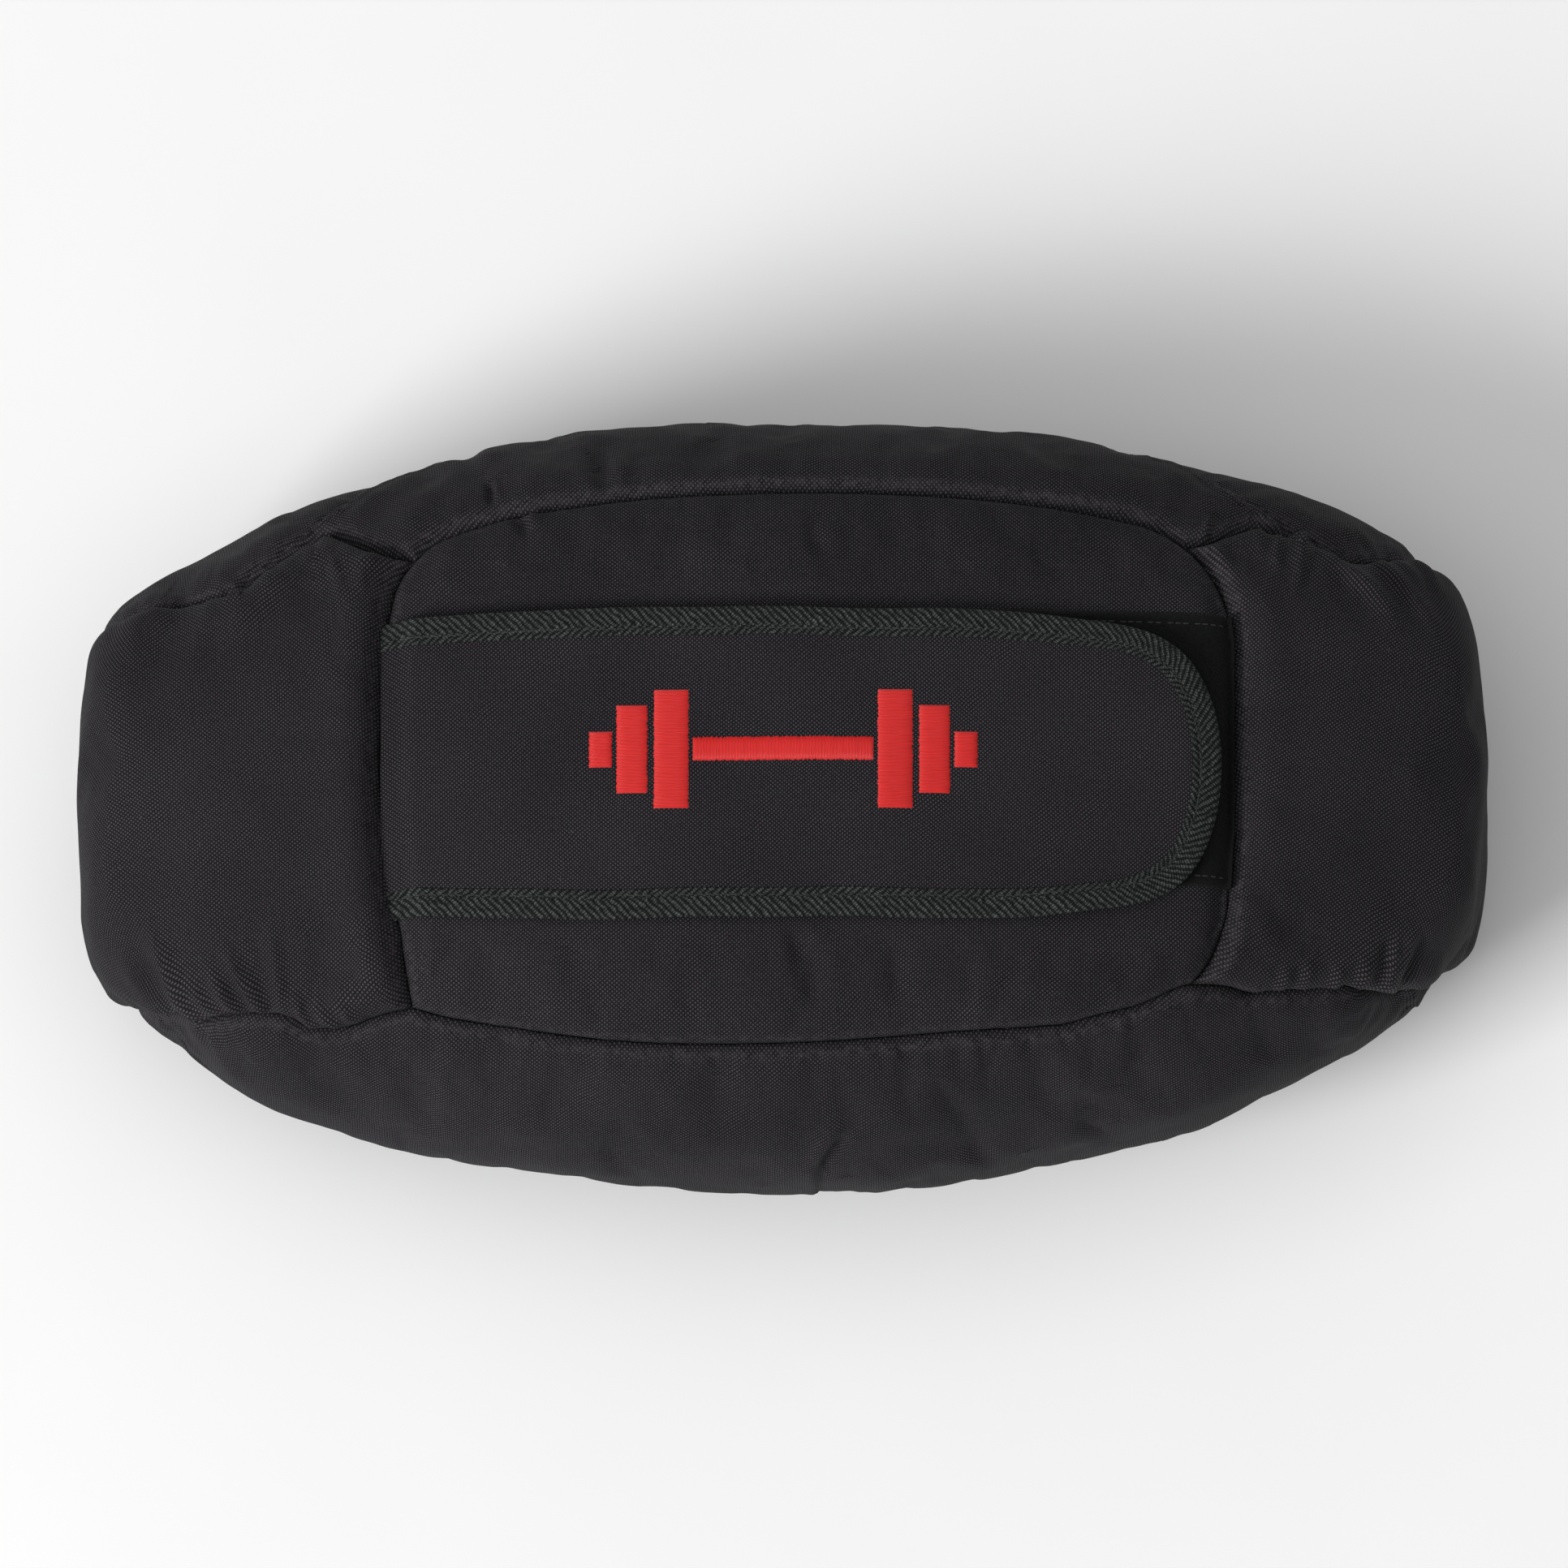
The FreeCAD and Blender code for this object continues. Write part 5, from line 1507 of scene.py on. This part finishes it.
# Each bar's middle along the emblem, its length and its height, as shares of the emblem's
EMBLEM_BARS = ((0, 0.46, 0.2), (-0.285, 0.09, 1), (0.285, 0.09, 1), (-0.385, 0.08, 0.74), (0.385, 0.08, 0.74),
               (-0.465, 0.06, 0.3), (0.465, 0.06, 0.3))
# The stitching's pitch, its ridges' height, the crown of a bar, and how far threads miss its edge
SATIN_PITCH, SATIN_RIDGE, SATIN_DOME, RAGGED = 0.8, 0.16, 1.05, 0.28


def embroidered_bar(left, right, half, along_x):
    """A bar of satin stitch, domed, its ends a little ragged. Threads cross its narrow way."""
    wide, tall = right - left, 2 * half
    lines = max(4, int((wide if along_x else tall) / SATIN_PITCH))
    span = np.concatenate([[0, 0.02, 0.06], np.linspace(0.12, 0.88, 9), [0.94, 0.98, 1]])
    rng = random.Random(int(left * 7 + half * 31))
    rows, places = [], []
    for i in range(lines * 2 + 1):
        ridge = SATIN_RIDGE if i % 2 else 0.0
        a, b = rng.uniform(-RAGGED, RAGGED), rng.uniform(-RAGGED, RAGGED)
        where = i / (lines * 2)
        tuck = min(1.0, min(where, 1 - where) * lines * 0.9)
        for t in span:
            across = -0.5 + t
            dome = SATIN_DOME * (1 - abs(2 * across) ** 4) * (0.35 + 0.65 * tuck) + ridge * (0 < t < 1) - 0.1
            if along_x:
                x = left + wide * where
                y = EMBLEM_MIDDLE + across * tall + (a if t < 0.5 else b) * abs(2 * across) ** 3
                places.append((where * wide, t * tall, 0))
            else:
                y = EMBLEM_MIDDLE - half + tall * where
                x = (left + right) / 2 + across * wide + (a if t < 0.5 else b) * abs(2 * across) ** 3
                places.append((where * tall, t * wide, 0))
            z = float(flap_lie(x, y)) + FACE_HIGH + dome
            rows.append((x, y, z))
    upper = np.array(rows)
    lower = upper.copy()
    lower[:, 2] = [float(flap_lie(x, y)) + FACE_HIGH - 0.3 for x, y, _ in upper]
    faces = layered_faces(lines * 2 + 1, len(span), turned=False)
    return np.vstack([upper, lower]), faces, np.array(places + places, float)


bars = []
for middle, wide, tall in EMBLEM_BARS:
    left, right = (middle - wide / 2) * EMBLEM_LENGTH, (middle + wide / 2) * EMBLEM_LENGTH
    bars.append(embroidered_bar(left, right, tall * EMBLEM_HEIGHT / 2, right - left > tall * EMBLEM_HEIGHT))
emblem = join_parts("flap_embroidery", bars)
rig.ride(emblem, "flap")
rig.replaces(emblem, "flap_emblem")
dress(emblem, "emblem_thread")


# The loop patch, sewn to the front panel round its edge

loop_low, loop_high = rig.box("loop_patch")
LOOP = (loop_low.x / MM, loop_high.x / MM + 3.5, loop_low.y / MM, loop_high.y / MM)


def patch_layer(name, left, right, low_y, high_y):
    """The patch's fuzzy cloth, laid on the front panel and ended at its right seam."""
    rows, across = 110, 80
    xs, ys = np.linspace(left, right, rows), np.linspace(low_y, high_y, across)
    top, bottom, places = [], [], []
    rng = random.Random(5)
    seam_x, seam_y = np.array(SEAM_RIGHT[::-1]).T
    for share in (xs - left) / (right - left):
        for y in ys:
            ends_at = min(right, float(np.interp(y, seam_y, seam_x)) - 0.4)
            x = left + (ends_at - left) * share
            base = front_height(x, y) - 0.9 * float(smooth((x - ends_at + 3) / 3))
            edge = min(x - left, y - low_y, high_y - y)
            sewn = math.exp(-((edge - PATCH_MARGIN) / 0.8) ** 2)
            thick = 0.55 + 1.15 * float(smooth((edge - 0.2) / 1.6)) - 0.35 * sewn
            fuzz = rng.uniform(-0.16, 0.16) if edge > 5 else rng.uniform(-0.05, 0.05)
            top.append((x, y, base + thick + fuzz))
            bottom.append((x, y, base + 0.1))
            places.append((x, y, 0))
    part = np.array(top + bottom), layered_faces(rows, across), np.array(places + places, float)
    return join_parts(name, [part])


loop = patch_layer("loop_patch_pile", *LOOP)
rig.ride(loop, "bag")
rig.replaces(loop, "loop_patch")
dress(loop, "loop_tape")
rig.sheet(loop, flat=((LOOP[3] - LOOP[2]) * MM, (LOOP[1] - LOOP[0]) * MM), held="laid",
         rests_on=["front_panel_cloth"])


def upright(x, y, above):
    """A place over the front panel's cloth, with its upward direction."""
    return np.array([x, y, front_height(x, y) + above]), np.array([0, 0, 1.0])


def patch_stitches():
    left, right = LOOP[0] + PATCH_MARGIN, LOOP[1]
    low_y, high_y = LOOP[2] + PATCH_MARGIN, LOOP[3] - PATCH_MARGIN
    line = [(right - 1, high_y)] + [(x, high_y) for x in np.arange(right - 2, left, -1.5)]
    line += [(left, y) for y in np.arange(high_y, low_y, -1.5)]
    line += [(x, low_y) for x in np.arange(left, right - 1, 1.5)]
    return stitch_row([upright(x, y, 1.35) for x, y in line], pitch=3.6, length=2.7, radius=0.26)


loop_stitches = join_parts("loop_patch_stitches", patch_stitches())
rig.ride(loop_stitches, "bag")
dress(loop_stitches, "loop_tape", "stitch_thread")


# The stitches either side of the zip, from its middle
ZIP_SEAMS = (8.2, 12.5)


def zip_stitches():
    out = []
    for side in (1, -1):
        for off in ZIP_SEAMS:
            line = [(x, side * off) for x in np.arange(SLOT[0] + 2, SLOT[1] - 2, 1.4)]
            out += stitch_row([upright(x, y, 0.16) for x, y in line], pitch=3.2, length=2.4, radius=0.24)
    return out


zip_rows = join_parts("zip_stitches", zip_stitches())
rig.ride(zip_rows, "bag")
dress(zip_rows, "zip_tape", "stitch_thread")

ZIP_SLOTS = {
    "zipper_tape_upper": "zip_tape", "zipper_tape_lower": "zip_tape",
    "zipper_teeth_upper": "zip_teeth", "zipper_teeth_lower": "zip_teeth",
    "zipper_stops": "slider_metal", "zipper_slider": "slider_metal",
    "zipper_bridge": "slider_metal", "zipper_pull": "slider_metal",
}
for node, slot in ZIP_SLOTS.items():
    dress(frame["nodes"][node], slot)


# Floor, light and camera

def make_floor():
    bpy.ops.mesh.primitive_grid_add(x_subdivisions=2, y_subdivisions=2, size=12)
    floor = bpy.context.object
    floor.name = "floor"
    floor.location.z = -0.0002
    s = Shader("floor")
    grain = s.noise(s.place(1.0), 9.0, 2.0)
    tone = s.mix(grain, (0.89, 0.89, 0.89, 1), (0.92, 0.92, 0.92, 1))
    floor.data.materials.append(s.finish(Base_Color=tone, Roughness=0.9))
    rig.stage(floor)


def add_area(name, place, size, power):
    """A soft light aimed at the bag."""
    light = bpy.data.lights.new(name, "AREA")
    light.shape = "RECTANGLE"
    light.size, light.size_y = size
    light.energy = power
    thing = bpy.data.objects.new(name, light)
    scene.collection.objects.link(thing)
    thing.location = place
    thing.rotation_euler = (Vector((0, 0, 0.1)) - Vector(place)).to_track_quat("-Z", "Y").to_euler()


make_floor()
add_area("key", (-4.6, -3.0, 4.4), (2.6, 2.6), 385)
add_area("top", (-0.4, -0.2, 3.6), (3.4, 3.4), 46)
add_area("rim", (0.6, 2.6, 1.4), (2.4, 0.8), 4)
world = bpy.data.worlds.new("studio")
world.use_nodes = True
world.node_tree.nodes["Background"].inputs[0].default_value = (1, 1, 1, 1)
world.node_tree.nodes["Background"].inputs[1].default_value = 0.28
scene.world = world
scene.view_settings.view_transform = "Standard"
scene.view_settings.look = "None"

camera_data = bpy.data.cameras.new("camera")
camera = bpy.data.objects.new("camera", camera_data)
scene.collection.objects.link(camera)
scene.camera = camera
TILT = math.radians(9.8)
# Metres to the bag, metres across the picture at the bag, and the camera's sensor in millimetres
DISTANCE, FRAME_WIDTH, SENSOR = 12.0, 0.60375, 36
aim = Vector((0.0003, 0.0102, 0.090))
camera.location = aim + Vector((0, -math.sin(TILT), math.cos(TILT))) * DISTANCE
camera.rotation_euler = (TILT, 0, 0)
camera_data.sensor_width = SENSOR
camera_data.lens = SENSOR * DISTANCE / FRAME_WIDTH
camera_data.clip_end = 50

low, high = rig.bounds()
with open("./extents.json", "w") as sizes:
    json.dump({"cad": [list(cad_low), list(cad_high)], "visual": [list(low), list(high)]}, sizes)
